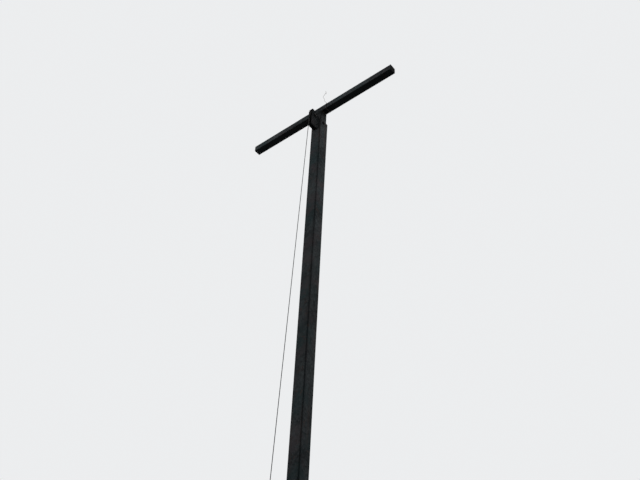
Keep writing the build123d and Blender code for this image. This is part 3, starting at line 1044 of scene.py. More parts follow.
def circle(centre: Vector, radius: float, drift: float = 0.0,
           back: float = 0.0) -> Callable[[float], Vector]:
    """Gives the points of a circle or a helix about an axis along X.

    Args:
        centre: The circle's middle.
        radius: The circle's radius.
        drift: How far a helix moves along X for each radian past its start.
        back: The angle at which the helix starts.

    Returns:
        A function from an angle to a point, where 0 is towards +Y.
    """
    def place(angle: float) -> Vector:
        """Returns the point at an angle."""
        return centre + Vector((drift * (angle - back), radius * math.cos(angle), radius * math.sin(angle)))

    return place


@dataclass
class LiftingRope:
    """The twisted wire rope: over the sheave from the drum, down inside the mast, and round the drum."""

    radius: float = 2.0 * MM
    strands: int = 6
    strand_corners: int = 4
    lay: float = 26.0 * MM
    rings_per_lay: int = 12
    hidden_rings: int = 8
    seam: float = 0.02 * MM
    sharp: float = math.radians(70.0)
    end_gap: float = 0.3 * MM
    valley: float = 0.66
    flank: float = 0.93
    lean: float = math.atan(0.029)
    wrap: float = math.radians(270.0)
    drum_core: float = 25.0 * MM
    sheave_flange: float = 3.0 * MM
    below_rim: float = 5.0 * MM
    spacing: float = 2.0 * MM
    coil_pitch: float = 4.2 * MM
    coil_turns: int = 3
    crossover: float = math.radians(88.0)

    def __post_init__(self) -> None:
        """Reads the drum's and the sheave's places from the frame."""
        drum = Span.of("winch_drum")
        sheave = Span.of("sheave")
        fall = Span.of("rope_fall")
        self.drum = Vector((0.0, drum.middle.y, drum.middle.z))
        self.sheave = Vector((0.0, sheave.middle.y, sheave.middle.z))
        self.on_drum = self.drum_core + self.radius
        self.on_sheave = sheave.size.z / 2 - self.sheave_flange
        self.leave = math.pi - self.lean
        self.end = Vector((0.0, self.sheave.y + self.on_sheave, fall.high.z))
        self.anchor = Vector((0.0, Span.of("rope_anchor").middle.y, fall.low.z + self.end_gap))

    def lay_unit(self, length: float, rings: int) -> Shape:
        """Models one full twist of the strands along X.

        Args:
            length: The unit's length.
            rings: How many rings of corners it has past its first.

        Returns:
            The open unit, whose ends match.
        """
        sides = self.strands * self.strand_corners
        Bench.clear()
        bpy.ops.mesh.primitive_circle_add(vertices=sides, radius=self.radius, rotation=ALONG_X)
        unit = Bench.fresh("rope_lay")
        step = length / rings
        with Editing(unit) as edit:
            for share, offset in ((self.valley, 0), (self.flank, 1), (self.flank, 3)):
                edit.corners(lambda corner, offset=offset: corner.index % self.strand_corners == offset)
                bpy.ops.transform.resize(value=(1.0, share, share), center_override=(0.0, 0.0, 0.0))
            edit.everything()
            for ring in range(rings):
                bpy.ops.mesh.extrude_region_move(TRANSFORM_OT_translate={"value": (step, 0.0, 0.0)})
                bpy.ops.transform.rotate(
                    value=TURN / rings, orient_axis="X", center_override=((ring + 1) * step, 0.0, 0.0))
        return unit

    def along(self, route: Route, name: str, rings: int) -> Shape:
        """Lays the twisted strands along a route.

        Args:
            route: The rope's middle line.
            name: The rope's name.
            rings: How many rings of corners each full twist has.

        Returns:
            The closed rope.
        """
        guide = route.line(name + "_guide")
        count = round(route.length / self.lay)
        length = route.length / count
        rope = self.lay_unit(length, rings)
        rope.name = name
        Bench.repeat(rope, count, length, self.seam)
        Bench.modify(rope, "CURVE", object=guide, deform_axis="POS_X")
        bpy.data.objects.remove(guide)
        with Editing(rope) as edit:
            edit.tidy()
        Bench.smooth(rope, self.sharp)
        return rope

    def build(self, material: bpy.types.Material) -> None:
        """Makes the rope and its turns on the drum.

        Args:
            material: The wire's material.
        """
        start = self.leave + self.wrap
        round_drum = circle(self.drum, self.on_drum)
        round_sheave = circle(self.sheave, self.on_sheave)
        route = Route(round_drum(start), self.spacing)
        route.bend(round_drum, start, self.leave).run(round_sheave(self.leave))
        route.bend(round_sheave, self.leave, 0.0).run(self.end)
        rope = self.along(route, "lifting_rope_strands", self.rings_per_lay)
        deliver(rope, Body.MAST, Slot.ROPE, material, ("lifting_rope",))

        hanging = self.end.z - self.anchor.z
        fall = self.along(Route(self.end, hanging).run(self.anchor), "rope_fall_strands", self.hidden_rings)
        deliver(fall, Body.MAST, Slot.ROPE, material, ("rope_fall",))
        tuple(self.end)
        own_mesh(fall)

        aside = -self.coil_pitch
        first = circle(self.drum, self.on_drum, aside / self.crossover, start)
        second = start + self.crossover
        rest = circle(self.drum + Vector((aside, 0.0, 0.0)), self.on_drum, -self.coil_pitch / TURN, second)
        turns = Route(first(start), self.spacing)
        turns.bend(first, start, second).bend(rest, second, second + self.coil_turns * TURN)
        coil = self.along(turns, "drum_turns", self.rings_per_lay)
        deliver(coil, Body.MAST, Slot.ROPE, material, ("winch_rope_coil",))


@dataclass
class BindingWire:
    """The stray wire on the crossbar: a loop, a bent tail with points in millimetres, and a twisted knot."""

    radius: float = 0.8 * MM
    gap: float = 0.3 * MM
    corner: float = 5.0 * MM
    from_front: float = 7.0 * MM
    spacing: float = 1.2 * MM
    tail: tuple[tuple[float, float], ...] = (
        (0.0, 0.0), (-8.0, 24.0), (-20.0, 42.0), (-23.0, 70.0), (-36.0, 106.0), (-24.0, 122.0),
        (-13.0, 127.0))
    tail_steps: int = 10
    knot_axis: Point = (0.15, 0.0, 1.0)
    knot_radius: float = 2.3 * MM
    knot_turns: int = 5
    knot_pitch: float = 1.9 * MM
    foot_turns: int = 3
    foot_share: float = 0.22
    stub: tuple[float, float] = (-3.0, 27.0)
    sharp: float = math.radians(60.0)

    def __post_init__(self) -> None:
        """Reads the bar's and the wire's places from the frame."""
        bar = Span.of("crossbar")
        wire = Span.of("binding_wire")
        self.across = bar.middle.y
        self.height = bar.middle.z
        self.half = bar.size.z / 2 + self.gap + self.radius
        self.x = wire.high.x - self.radius
        foot_y = self.across - self.half + self.from_front
        self.foot = Vector((self.x, foot_y, self.height + self.half))

    def loop(self) -> Shape:
        """Bends the loop round the bar.

        Returns:
            The loop.
        """
        flat = self.half - self.corner
        corners = []
        for side, up in ((1, 1), (-1, 1), (-1, -1), (1, -1)):
            centre = Vector((self.x, self.across + side * flat, self.height + up * flat))
            corners.append(circle(centre, self.corner))
        route = Route(corners[0](0.0), self.spacing)
        for index, place in enumerate(corners):
            start = index * QUARTER
            if index:
                route.run(place(start))
            route.bend(place, start, start + QUARTER)
        return route.wire("wire_loop", self.radius, closed=True)

    def upright(self, flat_point: Sequence[float]) -> Vector:
        """Gives the place of a point that is so many millimetres beside and above the foot."""
        return self.foot + Vector((flat_point[0] * MM, 0.0, flat_point[1] * MM))

    def stalk(self) -> Shape:
        """Bends the tail through its points, softly at each.

        Returns:
            The tail.
        """
        stalk = Bench.curve("wire_stalk", self.radius)
        stalk.data.resolution_u = self.tail_steps
        spline = stalk.data.splines.new("BEZIER")
        side, up = self.tail[-1]
        tip = (side + self.stub[0], up + self.stub[1])
        spots = [self.upright(spot) for spot in (*self.tail, tip)]
        spline.bezier_points.add(len(spots) - 1)
        for knot, spot in zip(spline.bezier_points, spots):
            knot.co = spot
            knot.handle_left_type = "AUTO"
            knot.handle_right_type = "AUTO"
        return Bench.to_mesh(stalk)

    def winding(self, name: str, middle: Vector, axis: Vector, radius: float, turns: int) -> Shape:
        """Winds wire about an axis.

        Args:
            name: The winding's name.
            middle: Its middle.
            axis: Its direction.
            radius: The radius of its middle line.
            turns: How many turns it has.

        Returns:
            The winding.
        """
        facing = axis.normalized().to_track_quat("X", "Z").to_matrix()

        def place(angle: float) -> Vector:
            """Returns the helix's point at an angle."""
            reach = self.knot_pitch * (angle / TURN - turns / 2)
            return middle + facing @ Vector((reach, radius * math.cos(angle), radius * math.sin(angle)))

        route = Route(place(0.0), self.spacing).bend(place, 0.0, turns * TURN)
        return route.wire(name, self.radius)

    def build(self, material: bpy.types.Material) -> None:
        """Makes the wire.

        Args:
            material: The wire's material.
        """
        top = self.upright(self.tail[-1])
        inner = self.knot_radius - self.radius
        knot = self.winding("wire_knot", top, Vector(self.knot_axis), inner, self.knot_turns)
        first_bend = self.upright(self.tail[1])
        low = self.foot.lerp(first_bend, self.foot_share)
        twist = self.winding("wire_twist", low, first_bend - self.foot, 2 * self.radius, self.foot_turns)
        parts = [self.loop(), self.stalk(), knot, twist]
        wire = Bench.assemble("twisted_binding_wire", parts, self.sharp)
        deliver(wire, Body.TOP, Slot.WIRE, material, ("binding_wire",))


def aim(direction: Vector) -> Matrix:
    """Gives the turn that lays X along a direction."""
    return direction.to_track_quat("X", "Z").to_matrix().to_4x4()


@dataclass
class Welder:
    """Weld beads: a rippled rod along each seam, half sunk in the corner that it fills."""

    pitch: float = 2.6 * MM
    sides: int = 10
    valley: float = 0.84
    crest_at: float = 0.62
    wobble: float = 0.7 * MM
    wobble_size: float = 9.0 * MM
    seam: float = 0.05 * MM
    sharp: float = math.radians(50.0)

    def unit(self, radius: float) -> Shape:
        """Models one ripple of a bead along X.

        Args:
            radius: The bead's radius.

        Returns:
            The open ripple.
        """
        middle = (self.pitch / 2, 0.0, 0.0)
        ripple = Bench.prism("ripple", self.sides, radius, self.pitch, middle, "NOTHING")
        crest = self.pitch * self.crest_at
        with Editing(ripple) as edit:
            edit.everything()
            bpy.ops.mesh.bisect(plane_co=(crest, 0.0, 0.0), plane_no=(1.0, 0.0, 0.0))
            edit.corners(lambda corner: abs(corner.co.x - crest) > self.pitch / 10)
            bpy.ops.transform.resize(value=(1.0, self.valley, self.valley), center_override=(0.0, 0.0, 0.0))
        return ripple

    def bead(self, start: Sequence[float], end: Sequence[float], radius: float) -> Shape:
        """Lays one straight bead.

        Args:
            start: Where it starts.
            end: Where it ends.
            radius: The bead's radius.

        Returns:
            The closed bead.
        """
        start, end = Vector(start), Vector(end)
        seam = end - start
        count = max(2, round(seam.length / self.pitch))
        bead = self.unit(radius)
        Bench.repeat(bead, count, self.pitch, self.seam)
        with Editing(bead) as edit:
            edit.tidy()
        stretch = Matrix.Diagonal((seam.length / (count * self.pitch), 1.0, 1.0, 1.0))
        bead.matrix_world = Matrix.Translation(start) @ aim(seam) @ stretch
        return Bench.settle(bead)

    def seams(self, lines: Iterable[tuple[Sequence[float], Sequence[float]]], radius: float) -> list[Shape]:
        """Lays several straight beads, each from its start to its end."""
        return [self.bead(start, end, radius) for start, end in lines]

    def frame_seams(self, corners: Sequence[Sequence[float]], radius: float) -> list[Shape]:
        """Lays beads round a closed outline, from corner to corner."""
        return self.seams(zip(corners, [*corners[1:], corners[0]]), radius)

    def finish(self, name: str, beads: Sequence[Shape]) -> Shape:
        """Joins beads and makes them uneven.

        Args:
            name: The joined beads' name.
            beads: The beads.

        Returns:
            The finished welds.
        """
        welds = Bench.join(name, beads)
        clouds = bpy.data.textures.new(name + "_wobble", "CLOUDS")
        clouds.noise_scale = self.wobble_size
        Bench.modify(
            welds, "DISPLACE", texture=clouds, texture_coords="GLOBAL", strength=self.wobble, mid_level=0.5)
        Bench.smooth(welds, self.sharp)
        return welds


def uprights(xs: Iterable[float], y: float, low: float, high: float) -> list[tuple[Point, Point]]:
    """Gives the start and end of upright seams, one at each X and all at one Y."""
    return [((x, y, low), (x, y, high)) for x in xs]


def square_outline(half: float, corner: float, place: Callable[[float, float], Point]) -> list[Point]:
    """Gives the eight corners of a square outline with cut corners.

    Args:
        half: Half the square's side.
        corner: How much each corner is cut.
        place: Turns two coordinates of the square into a place.

    Returns:
        The places in order.
    """
    flat = half - corner
    turns = ((half, -flat), (half, flat), (flat, half), (-flat, half))
    return [place(a, b) for a, b in turns] + [place(-a, -b) for a, b in turns]


@dataclass
class MastWelds:
    """The welds of the foot, the gussets, the sheave's cheeks, the winch bracket and the crossbar."""

    welder: Welder
    foot_bead: float = 4.5 * MM
    gusset_bead: float = 4.0 * MM
    cheek_bead: float = 3.2 * MM
    bracket_bead: float = 4.0 * MM
    bar_bead: float = 2.8 * MM
    cap_bead: float = 1.0 * MM
    mast_corner: float = 8.0 * MM
    bar_corner: float = 4.0 * MM
    tube_corner: float = 6.0 * MM
    notch: float = 14.0 * MM
    clear_end: float = 3.0 * MM
    bracket_wall: float = 8.0 * MM
    plate_inset: float = 20.0 * MM

    def foot(self) -> Shape:
        """Welds the mast and its gussets to the base plate.

        Returns:
            The welds.
        """
        mast = Span.of("outer_tube")
        base = Span.of("base_plate")
        gusset = Span.of("gusset_back")
        half = mast.size.x / 2
        floor = base.high.z
        ring = square_outline(half, self.mast_corner, lambda a, b: (a, b, floor))
        beads = self.welder.frame_seams(ring, self.foot_bead)
        side = gusset.size.x / 2
        low, high = floor + self.notch, gusset.high.z - self.clear_end
        near, far = half + self.notch, gusset.high.y - self.clear_end
        lines = []
        for x in (-side, side):
            lines += uprights((x,), half, low, high)
            lines.append(((x, near, floor), (x, far, floor)))
        one = Bench.join("gusset_beads", self.welder.seams(lines, self.gusset_bead))
        beads.append(one)
        for quarter in (1, 2, 3):
            beads.append(Bench.copy(one, "gusset_beads", Matrix.Rotation(quarter * QUARTER, 4, "Z")))
        return self.welder.finish("foot_welds", beads)

    def head(self) -> Shape:
        """Welds the sheave's cheeks to the mast's front face, on their outer sides.

        Returns:
            The welds.
        """
        mast = Span.of("outer_tube")
        left, right = Span.of("sheave_cheek_left"), Span.of("sheave_cheek_right")
        lines = uprights((left.low.x, right.high.x), mast.low.y, left.low.z, mast.high.z - self.clear_end)
        return self.welder.finish("cheek_welds", self.welder.seams(lines, self.cheek_bead))

    def bracket(self) -> Shape:
        """Welds the winch bracket's arms to the mast and to the bracket's plate.

        Returns:
            The welds.
        """
        mast = Span.of("outer_tube")
        bracket = Span.of("winch_bracket")
        arm = mast.size.x / 2 - self.mast_corner
        low, high = bracket.low.z + self.clear_end, bracket.high.z - self.clear_end
        lines = uprights((-arm, arm), mast.low.y, low, high)
        plate_back = bracket.low.y + self.bracket_wall
        lines += uprights((-arm, arm), plate_back, low + self.plate_inset, high - self.plate_inset)
        return self.welder.finish("bracket_welds", self.welder.seams(lines, self.bracket_bead))

    def crossbar(self) -> Shape:
        """Welds the crossbar to the inner tube, and its end caps.

        Returns:
            The welds.
        """
        bar = Span.of("crossbar")
        tube = Span.of("inner_tube")
        middle = bar.middle
        flat = tube.size.x / 2 - self.tube_corner
        height = bar.low.z
        lines = [((-flat, y, height), (flat, y, height)) for y in (bar.low.y, bar.high.y)]
        lines += [((x, bar.low.y, height), (x, bar.high.y, height)) for x in (tube.low.x, tube.high.x)]
        beads = self.welder.seams(lines, self.bar_bead)
        for end in (bar.low.x, bar.high.x):
            ring = square_outline(
                bar.size.z / 2, self.bar_corner, lambda a, b, end=end: (end, middle.y + a, middle.z + b))
            beads += self.welder.frame_seams(ring, self.cap_bead)
        return self.welder.finish("crossbar_welds", beads)

    def build(self, material: bpy.types.Material) -> None:
        """Makes all the welds.

        Args:
            material: The welds' material.
        """
        deliver(self.foot(), Body.MAST, Slot.MAST, material)
        deliver(self.head(), Body.MAST, Slot.BRACKET, material)
        deliver(self.bracket(), Body.MAST, Slot.BRACKET, material)
        deliver(self.crossbar(), Body.TOP, Slot.TOP, material)


@dataclass(frozen=True)
class Fastener:
    """A hexagonal bolt head or nut on its washer along X, with its outer side at +X."""

    flats: float
    height: float
    washer_radius: float
    washer_thick: float
    thread_radius: float = 0.0
    thread_out: float = 0.0
    washer_edge: float = 0.25
    chamfer: float = 0.1
    chamfer_rise: float = 0.08
    crown: float = 0.08
    edge: float = 0.02
    thread_chamfer: float = 0.16
    turn_apart: float = 0.7
    washer_sides: int = 32
    thread_sides: int = 24

    def head(self) -> Shape:
        """Models a chamfered hexagon on its washer, with the thread's end where it stands out.

        Returns:
            The fastener, seated on X = 0.
        """
        middle = (self.washer_thick / 2, 0.0, 0.0)
        washer = Bench.disc(
            "washer", self.washer_sides, self.washer_radius, self.washer_thick, middle, self.washer_edge)
        corner = self.flats / math.sqrt(3)
        centre = (self.washer_thick + self.height / 2, 0.0, 0.0)
        hexagon = Bench.prism("hexagon", HEXAGON, corner, self.height, centre)
        with Editing(hexagon) as edit:
            edit.outer_end()
            bpy.ops.mesh.inset(thickness=corner * self.chamfer)
            bpy.ops.transform.translate(value=(self.height * self.chamfer_rise, 0.0, 0.0))
            bpy.ops.mesh.inset(thickness=corner * self.crown)
        Bench.bevel(hexagon, self.flats * self.edge)
        parts = [washer, hexagon]
        if self.thread_out:
            centre = (self.washer_thick + self.height + self.thread_out / 2, 0.0, 0.0)
            stud = Bench.prism("stud", self.thread_sides, self.thread_radius, self.thread_out, centre)
            slope = self.thread_radius * self.thread_chamfer
            with Editing(stud) as edit:
                edit.outer_end()
                bpy.ops.mesh.inset(thickness=slope)
                bpy.ops.transform.translate(value=(slope, 0.0, 0.0))
            parts.append(stud)
        return Bench.assemble("fastener", parts)

    def place(self, name: str, seats: Iterable[tuple[Point, Point]]) -> Shape:
        """Copies the fastener to its seats.

        Args:
            name: The name of the joined copies.
            seats: Each seat's place and the direction that it faces.

        Returns:
            The fasteners.
        """
        master = self.head()
        copies = []
        for number, (spot, facing) in enumerate(seats):
            spin = Matrix.Rotation(number * self.turn_apart, 4, "X")
            seat = Matrix.Translation(Vector(spot)) @ aim(Vector(facing)) @ spin
            copies.append(Bench.copy(master, "fastener", seat))
        bpy.data.objects.remove(master)
        return Bench.assemble(name, copies)


@dataclass
class HeadFittings:
    """The small fittings of the sheave's pin: washers, a grease nipple and a split pin."""

    washer_radius: float = 15.0 * MM
    washer_thick: float = 1.6 * MM
    washer_edge: float = 0.25
    washer_sides: int = 40
    nipple_sides: int = 20
    nipple_radius: float = 3.2 * MM
    nipple_length: float = 9.0 * MM
    nipple_outline: tuple[tuple[float, float], ...] = (
        (0.0, 1.0), (0.30, 1.0), (0.34, 0.72), (0.58, 0.66), (0.62, 0.92), (0.84, 0.88), (1.0, 0.35))
    split_wire: float = 1.1 * MM
    split_length: float = 24.0 * MM
    split_short: float = 0.9
    split_from_end: float = 2.2 * MM
    split_spacing: float = 0.8 * MM
    split_sharp: float = math.radians(60.0)

    def washers(self) -> Shape:
        """Makes the thin washer that shows round each end of the pin.

        Returns:
            The washers.
        """
        left, right = Span.of("sheave_cheek_left"), Span.of("sheave_cheek_right")
        pin = Span.of("sheave_pin").middle
        rings = []
        for x, out in ((left.low.x, -1), (right.high.x, 1)):
            centre = (x + out * self.washer_thick / 2, pin.y, pin.z)
            rings.append(Bench.disc(
                "pin_washer", self.washer_sides, self.washer_radius, self.washer_thick, centre,
                self.washer_edge))
        return Bench.assemble("pin_washers", rings)

    def nipple(self) -> Shape:
        """Turns the grease nipple on the pin's head.

        Returns:
            The nipple.
        """
        pin = Span.of("sheave_pin")
        start = (pin.high.x, pin.middle.y, pin.middle.z)
        nipple = Bench.turned(
            "grease_nipple", self.nipple_sides, self.nipple_radius, self.nipple_length, start,
            self.nipple_outline)
        Bench.smooth(nipple)
        return nipple

    def split_pin(self) -> Shape:
        """Bends the split pin through the end of the pin, behind its nut.

        Returns:
            The split pin.
        """
        pin = Span.of("sheave_pin")
        wire = self.split_wire
        top = Vector((pin.low.x + self.split_from_end, pin.middle.y, pin.middle.z + self.split_length / 2))

        def point(side: float, down: float) -> Vector:
            """Returns the point beside the pin's middle line and below the middle of its eye."""
            return top + Vector((0.0, side, -down))

        short_leg = self.split_short * self.split_length
        route = Route(point(wire, self.split_length), self.split_spacing).run(point(wire, 2 * wire))
        route.bend(circle(top, 2 * wire), -math.pi / 3, math.pi + math.pi / 3)
        route.run(point(-wire, 2 * wire)).run(point(-wire, short_leg))
        route.run(point(-4 * wire, short_leg + 2 * wire))
        pin_wire = route.wire("split_pin", wire)
        Bench.smooth(pin_wire, self.split_sharp)
        return pin_wire

    def build(self, material: bpy.types.Material) -> None:
        """Makes the fittings."""
        for shape in (self.washers(), self.nipple(), self.split_pin()):
            deliver(shape, Body.MAST, Slot.BOLT, material)


@dataclass
class PadFittings:
    """What shows of the slide pads: the bolts of the side and back pads, and the front pads' ears."""

    bolt: Fastener = Fastener(19.0 * MM, 7.5 * MM, 14.0 * MM, 2.5 * MM)
    bolt_down: float = 22.0 * MM
    bolt_forward: float = 8.0 * MM
    ear_near: float = 15.5 * MM
    ear_rise: float = 36.0 * MM
    ear_depth: float = 5.0 * MM
    ear_over: float = 3.2 * MM
    ear_edge: float = 1.5 * MM
    clearance: float = 0.4 * MM

    def bolts(self) -> Shape:
        """Bolts the side and back pads through the mast's wall, just below the rim.

        Returns:
            The bolt heads.
        """
        mast = Span.of("outer_tube")
        half = mast.size.x / 2
        height = mast.high.z - self.bolt_down
        seats = [((side * half, -self.bolt_forward, height), (side, 0.0, 0.0)) for side in (-1.0, 1.0)]
        seats.append(((0.0, half, height), (0.0, 1.0, 0.0)))
        return self.bolt.place("pad_bolts", seats)

    def ears(self) -> Shape:
        """Models the ends of the front pads, which stand up out of the mast and over its wall; their very
        dark plastic also stands in as painted shade for the gap beside the sheave's cheeks.

        Returns:
            The two ears.
        """
        rim = Span.of("outer_tube").high.z
        ears = []
        for side, node in ((-1, "guide_pad_front_left"), (1, "guide_pad_front_right")):
            pad = Span.of(node)
            far = max(abs(pad.low.x), abs(pad.high.x))
            height = rim + self.ear_rise - pad.high.z
            middle = side * (self.ear_near + far) / 2
            centre = (middle, pad.low.y + self.ear_depth / 2, pad.high.z + height / 2)
            ear = Bench.block("ear", (far - self.ear_near, self.ear_depth, height), centre)
            with Editing(ear) as edit:
                edit.everything()
                bpy.ops.mesh.bisect(plane_co=(0.0, 0.0, rim + self.clearance), plane_no=(0.0, 0.0, 1.0))
                edit.faces(lambda face: face.normal.y < -FACING and face.calc_center_median().z > rim)
                bpy.ops.mesh.extrude_region_move(
                    TRANSFORM_OT_translate={"value": (0.0, -self.ear_over, 0.0)})
            Bench.bevel(ear, self.ear_edge)
            ears.append(ear)
        return Bench.assemble("pad_ears", ears)

    def build(self, steel: bpy.types.Material, plastic: bpy.types.Material) -> None:
        """Makes the bolts and the ears."""
        deliver(self.bolts(), Body.MAST, Slot.BOLT, steel)
        deliver(self.ears(), Body.MAST, Slot.PAD, plastic)


@dataclass
class WinchFittings:
    """The small fittings of the hand winch: bolts, shaft collars, the crank's cap nut and its grip."""

    bolt: Fastener = Fastener(13.0 * MM, 5.5 * MM, 8.0 * MM, 1.6 * MM)
    nut: Fastener = Fastener(13.0 * MM, 6.5 * MM, 8.0 * MM, 1.6 * MM, 4.0 * MM, 4.0 * MM)
    bolt_x: float = 14.0 * MM
    low_up: float = 12.0 * MM
    high_down: float = 16.0 * MM
    wall: float = 4.0 * MM
    bracket_wall: float = 8.0 * MM
    washer_radius: float = 13.0 * MM
    washer_thick: float = 1.6 * MM
    collar_radius: float = 10.5 * MM
    collar_thick: float = 3.0 * MM
    collar_edge: float = 0.2
    collar_sides: int = 36
    cap_flats: float = 20.0 * MM
    cap_height: float = 8.0 * MM
    cap_chamfer: float = 0.16
    cap_rise: float = 0.6 * MM
    dome_share: float = 0.42
    dome_foot: float = 0.5 * MM
    dome_sides: int = 28
    dome_steps: tuple[tuple[float, float], ...] = (
        (2.6 * MM, 0.96), (2.0 * MM, 0.86), (1.4 * MM, 0.72), (0.8 * MM, 0.5), (0.3 * MM, 0.35))
    grip_foot: tuple[tuple[float, float], ...] = ((0.0, 0.80), (0.02, 0.98), (0.06, 1.0), (0.10, 0.84))
    grip_end: tuple[tuple[float, float], ...] = (
        (0.89, 0.84), (0.92, 0.97), (0.96, 1.0), (0.99, 0.86), (1.0, 0.55))
    grip_sides: int = 36
    grip_ridges: int = 7
    ridges_from: float = 0.12
    ridges_length: float = 0.76
    ridge_radius: float = 0.90
    ridge_swell: float = 0.08
    ridge_groove: float = 0.05
    ridge_slope: float = 0.2
    grip_sharp: float = math.radians(30.0)

    def bolts(self) -> Shape:
        """Bolts the winch frame to its bracket.

        Returns:
            The bolt heads inside the frame and the nuts behind the bracket.
        """
        frame_span = Span.of("winch_frame")
        inside = frame_span.high.y - self.wall
        behind = Span.of("winch_bracket").low.y + self.bracket_wall
        heights = (frame_span.low.z + self.low_up, frame_span.high.z - self.high_down)
        spots = [(x, z) for x in (-self.bolt_x, self.bolt_x) for z in heights]
        heads = self.bolt.place("frame_bolts", [((x, inside, z), (0.0, -1.0, 0.0)) for x, z in spots])
        nuts = self.nut.place("frame_nuts", [((x, behind, z), (0.0, 1.0, 0.0)) for x, z in spots])
        return Bench.join("winch_bolts", [heads, nuts])

    def shaft_ends(self) -> Shape:
        """Puts a washer and a collar on each free shaft end.

        Returns:
            The collars.
        """
        frame_span = Span.of("winch_frame")
        drum = Span.of("winch_drum_shaft").middle
        pinion = Span.of("winch_pinion_shaft").middle
        rings = ((self.washer_thick, self.washer_radius, 0.0),
                 (self.collar_thick, self.collar_radius, self.washer_thick))
        collars = []
        for spot, side in ((drum, -1), (drum, 1), (pinion, -1)):
            wall = frame_span.high.x if side > 0 else frame_span.low.x
            for thick, radius, lift in rings:
                centre = (wall + side * (lift + thick / 2), spot.y, spot.z)
                collars.append(Bench.disc(
                    "collar", self.collar_sides, radius, thick, centre, self.collar_edge))
        return Bench.assemble("shaft_collars", collars)

    def cap_nut(self) -> Shape:
        """Models the domed nut that holds the crank on its shaft.

        Returns:
            The nut.
        """
        start = Span.of("winch_crank").high.x
        shaft = Span.of("winch_pinion_shaft").middle
        corner = self.cap_flats / math.sqrt(3)
        middle = (start + self.cap_height / 2, shaft.y, shaft.z)
        nut = Bench.prism("crank_cap_nut", HEXAGON, corner, self.cap_height, middle)
        with Editing(nut) as edit:
            edit.outer_end()
            bpy.ops.mesh.inset(thickness=corner * self.cap_chamfer)
            bpy.ops.transform.translate(value=(self.cap_rise, 0.0, 0.0))
        top = (start + self.cap_height, shaft.y, shaft.z)
        width = self.cap_flats * self.dome_share
        dome = Bench.prism("dome", self.dome_sides, width, self.dome_foot, top)
        with Editing(dome) as edit:
            edit.outer_end()
            edit.draw_out(self.dome_steps, (start, shaft.y, shaft.z))
        return Bench.assemble("crank_cap_nut", [nut, dome])

    def grip(self) -> Shape:
        """Turns the ridged grip on the crank.

        Returns:
            The grip.
        """
        span = Span.of("winch_grip")
        start = (span.low.x, span.middle.y, span.middle.z)
        body = self.ridges_length / self.grip_ridges
        outline = [*self.grip_foot]
        for ridge in range(self.grip_ridges):
            low = self.ridges_from + ridge * body
            along = (ridge + 0.5) / self.grip_ridges
            swell = self.ridge_radius + self.ridge_swell * math.sin(math.pi * along)
            outline += [
                (low, swell - self.ridge_groove),
                (low + body * self.ridge_slope, swell),
                (low + body * (1.0 - self.ridge_slope), swell),
            ]
        outline += self.grip_end
        grip = Bench.turned("turned_grip", self.grip_sides, span.size.z / 2, span.size.x, start, outline)
        Bench.smooth(grip, self.grip_sharp)
        return grip

    def build(self, zinc: bpy.types.Material, grip: bpy.types.Material) -> None:
        """Makes the fittings.

        Args:
            zinc: The fasteners' material.
            grip: The grip's material.
        """
        for shape in (self.bolts(), self.shaft_ends(), self.cap_nut()):
            deliver(shape, Body.MAST, Slot.BOLT, zinc)
        deliver(self.grip(), Body.MAST, Slot.GRIP, grip, ("winch_grip",))


@dataclass(frozen=True)
class PhotoCamera:
    """The camera that took the photograph, placed from the mast's own geometry."""

    azimuth: float = math.radians(41.589)
    distance: float = 3.7358
    below_rim: float = 4.4568
    heading: float = math.radians(-0.689)
    pitch: float = math.radians(42.176)
    roll: float = math.radians(3.107)
    lens: float = 46.97
    sight: float = 200.0

    def place(self) -> None:
        """Adds the camera and makes it the scene's own."""
        rim = Span.of("outer_tube").high.z
        spot = Vector((
            math.sin(self.azimuth) * self.distance,
            -math.cos(self.azimuth) * self.distance,
            rim - self.below_rim,
        ))
        turn = Matrix.Rotation(self.azimuth + self.heading, 3, "Z")
        ahead = turn @ Vector((0.0, 1.0, 0.0))
        right = turn @ Vector((1.0, 0.0, 0.0))
        up = Vector((0.0, 0.0, 1.0))
        view = math.cos(self.pitch) * ahead + math.sin(self.pitch) * up
        above = math.cos(self.pitch) * up - math.sin(self.pitch) * ahead
        camera_x = math.cos(self.roll) * right + math.sin(self.roll) * above
        camera_y = math.cos(self.roll) * above - math.sin(self.roll) * right
        pose = Matrix((camera_x, camera_y, -view)).transposed().to_4x4()
        pose.translation = spot
        data = bpy.data.cameras.new("photo_camera")
        data.lens = self.lens
        data.clip_end = self.sight
        camera = bpy.data.objects.new("photo_camera", data)
        camera.matrix_world = pose
        bpy.context.scene.collection.objects.link(camera)
        bpy.context.scene.camera = camera


@dataclass(frozen=True)
class Softbox:
    """A large square lamp aimed at a point."""

    name: str
    spot: Point
    aim: Point
    side: float
    power: float

    def place(self) -> None:
        """Adds the lamp."""
        data = bpy.data.lights.new(self.name, "AREA")
        data.shape = "SQUARE"
        data.size = self.side
        data.energy = self.power
        lamp = bpy.data.objects.new(self.name, data)
        lamp.location = self.spot
        lamp.rotation_euler = (Vector(self.aim) - Vector(self.spot)).to_track_quat("-Z", "Y").to_euler()
        lamp.visible_camera = False
        bpy.context.scene.collection.objects.link(lamp)


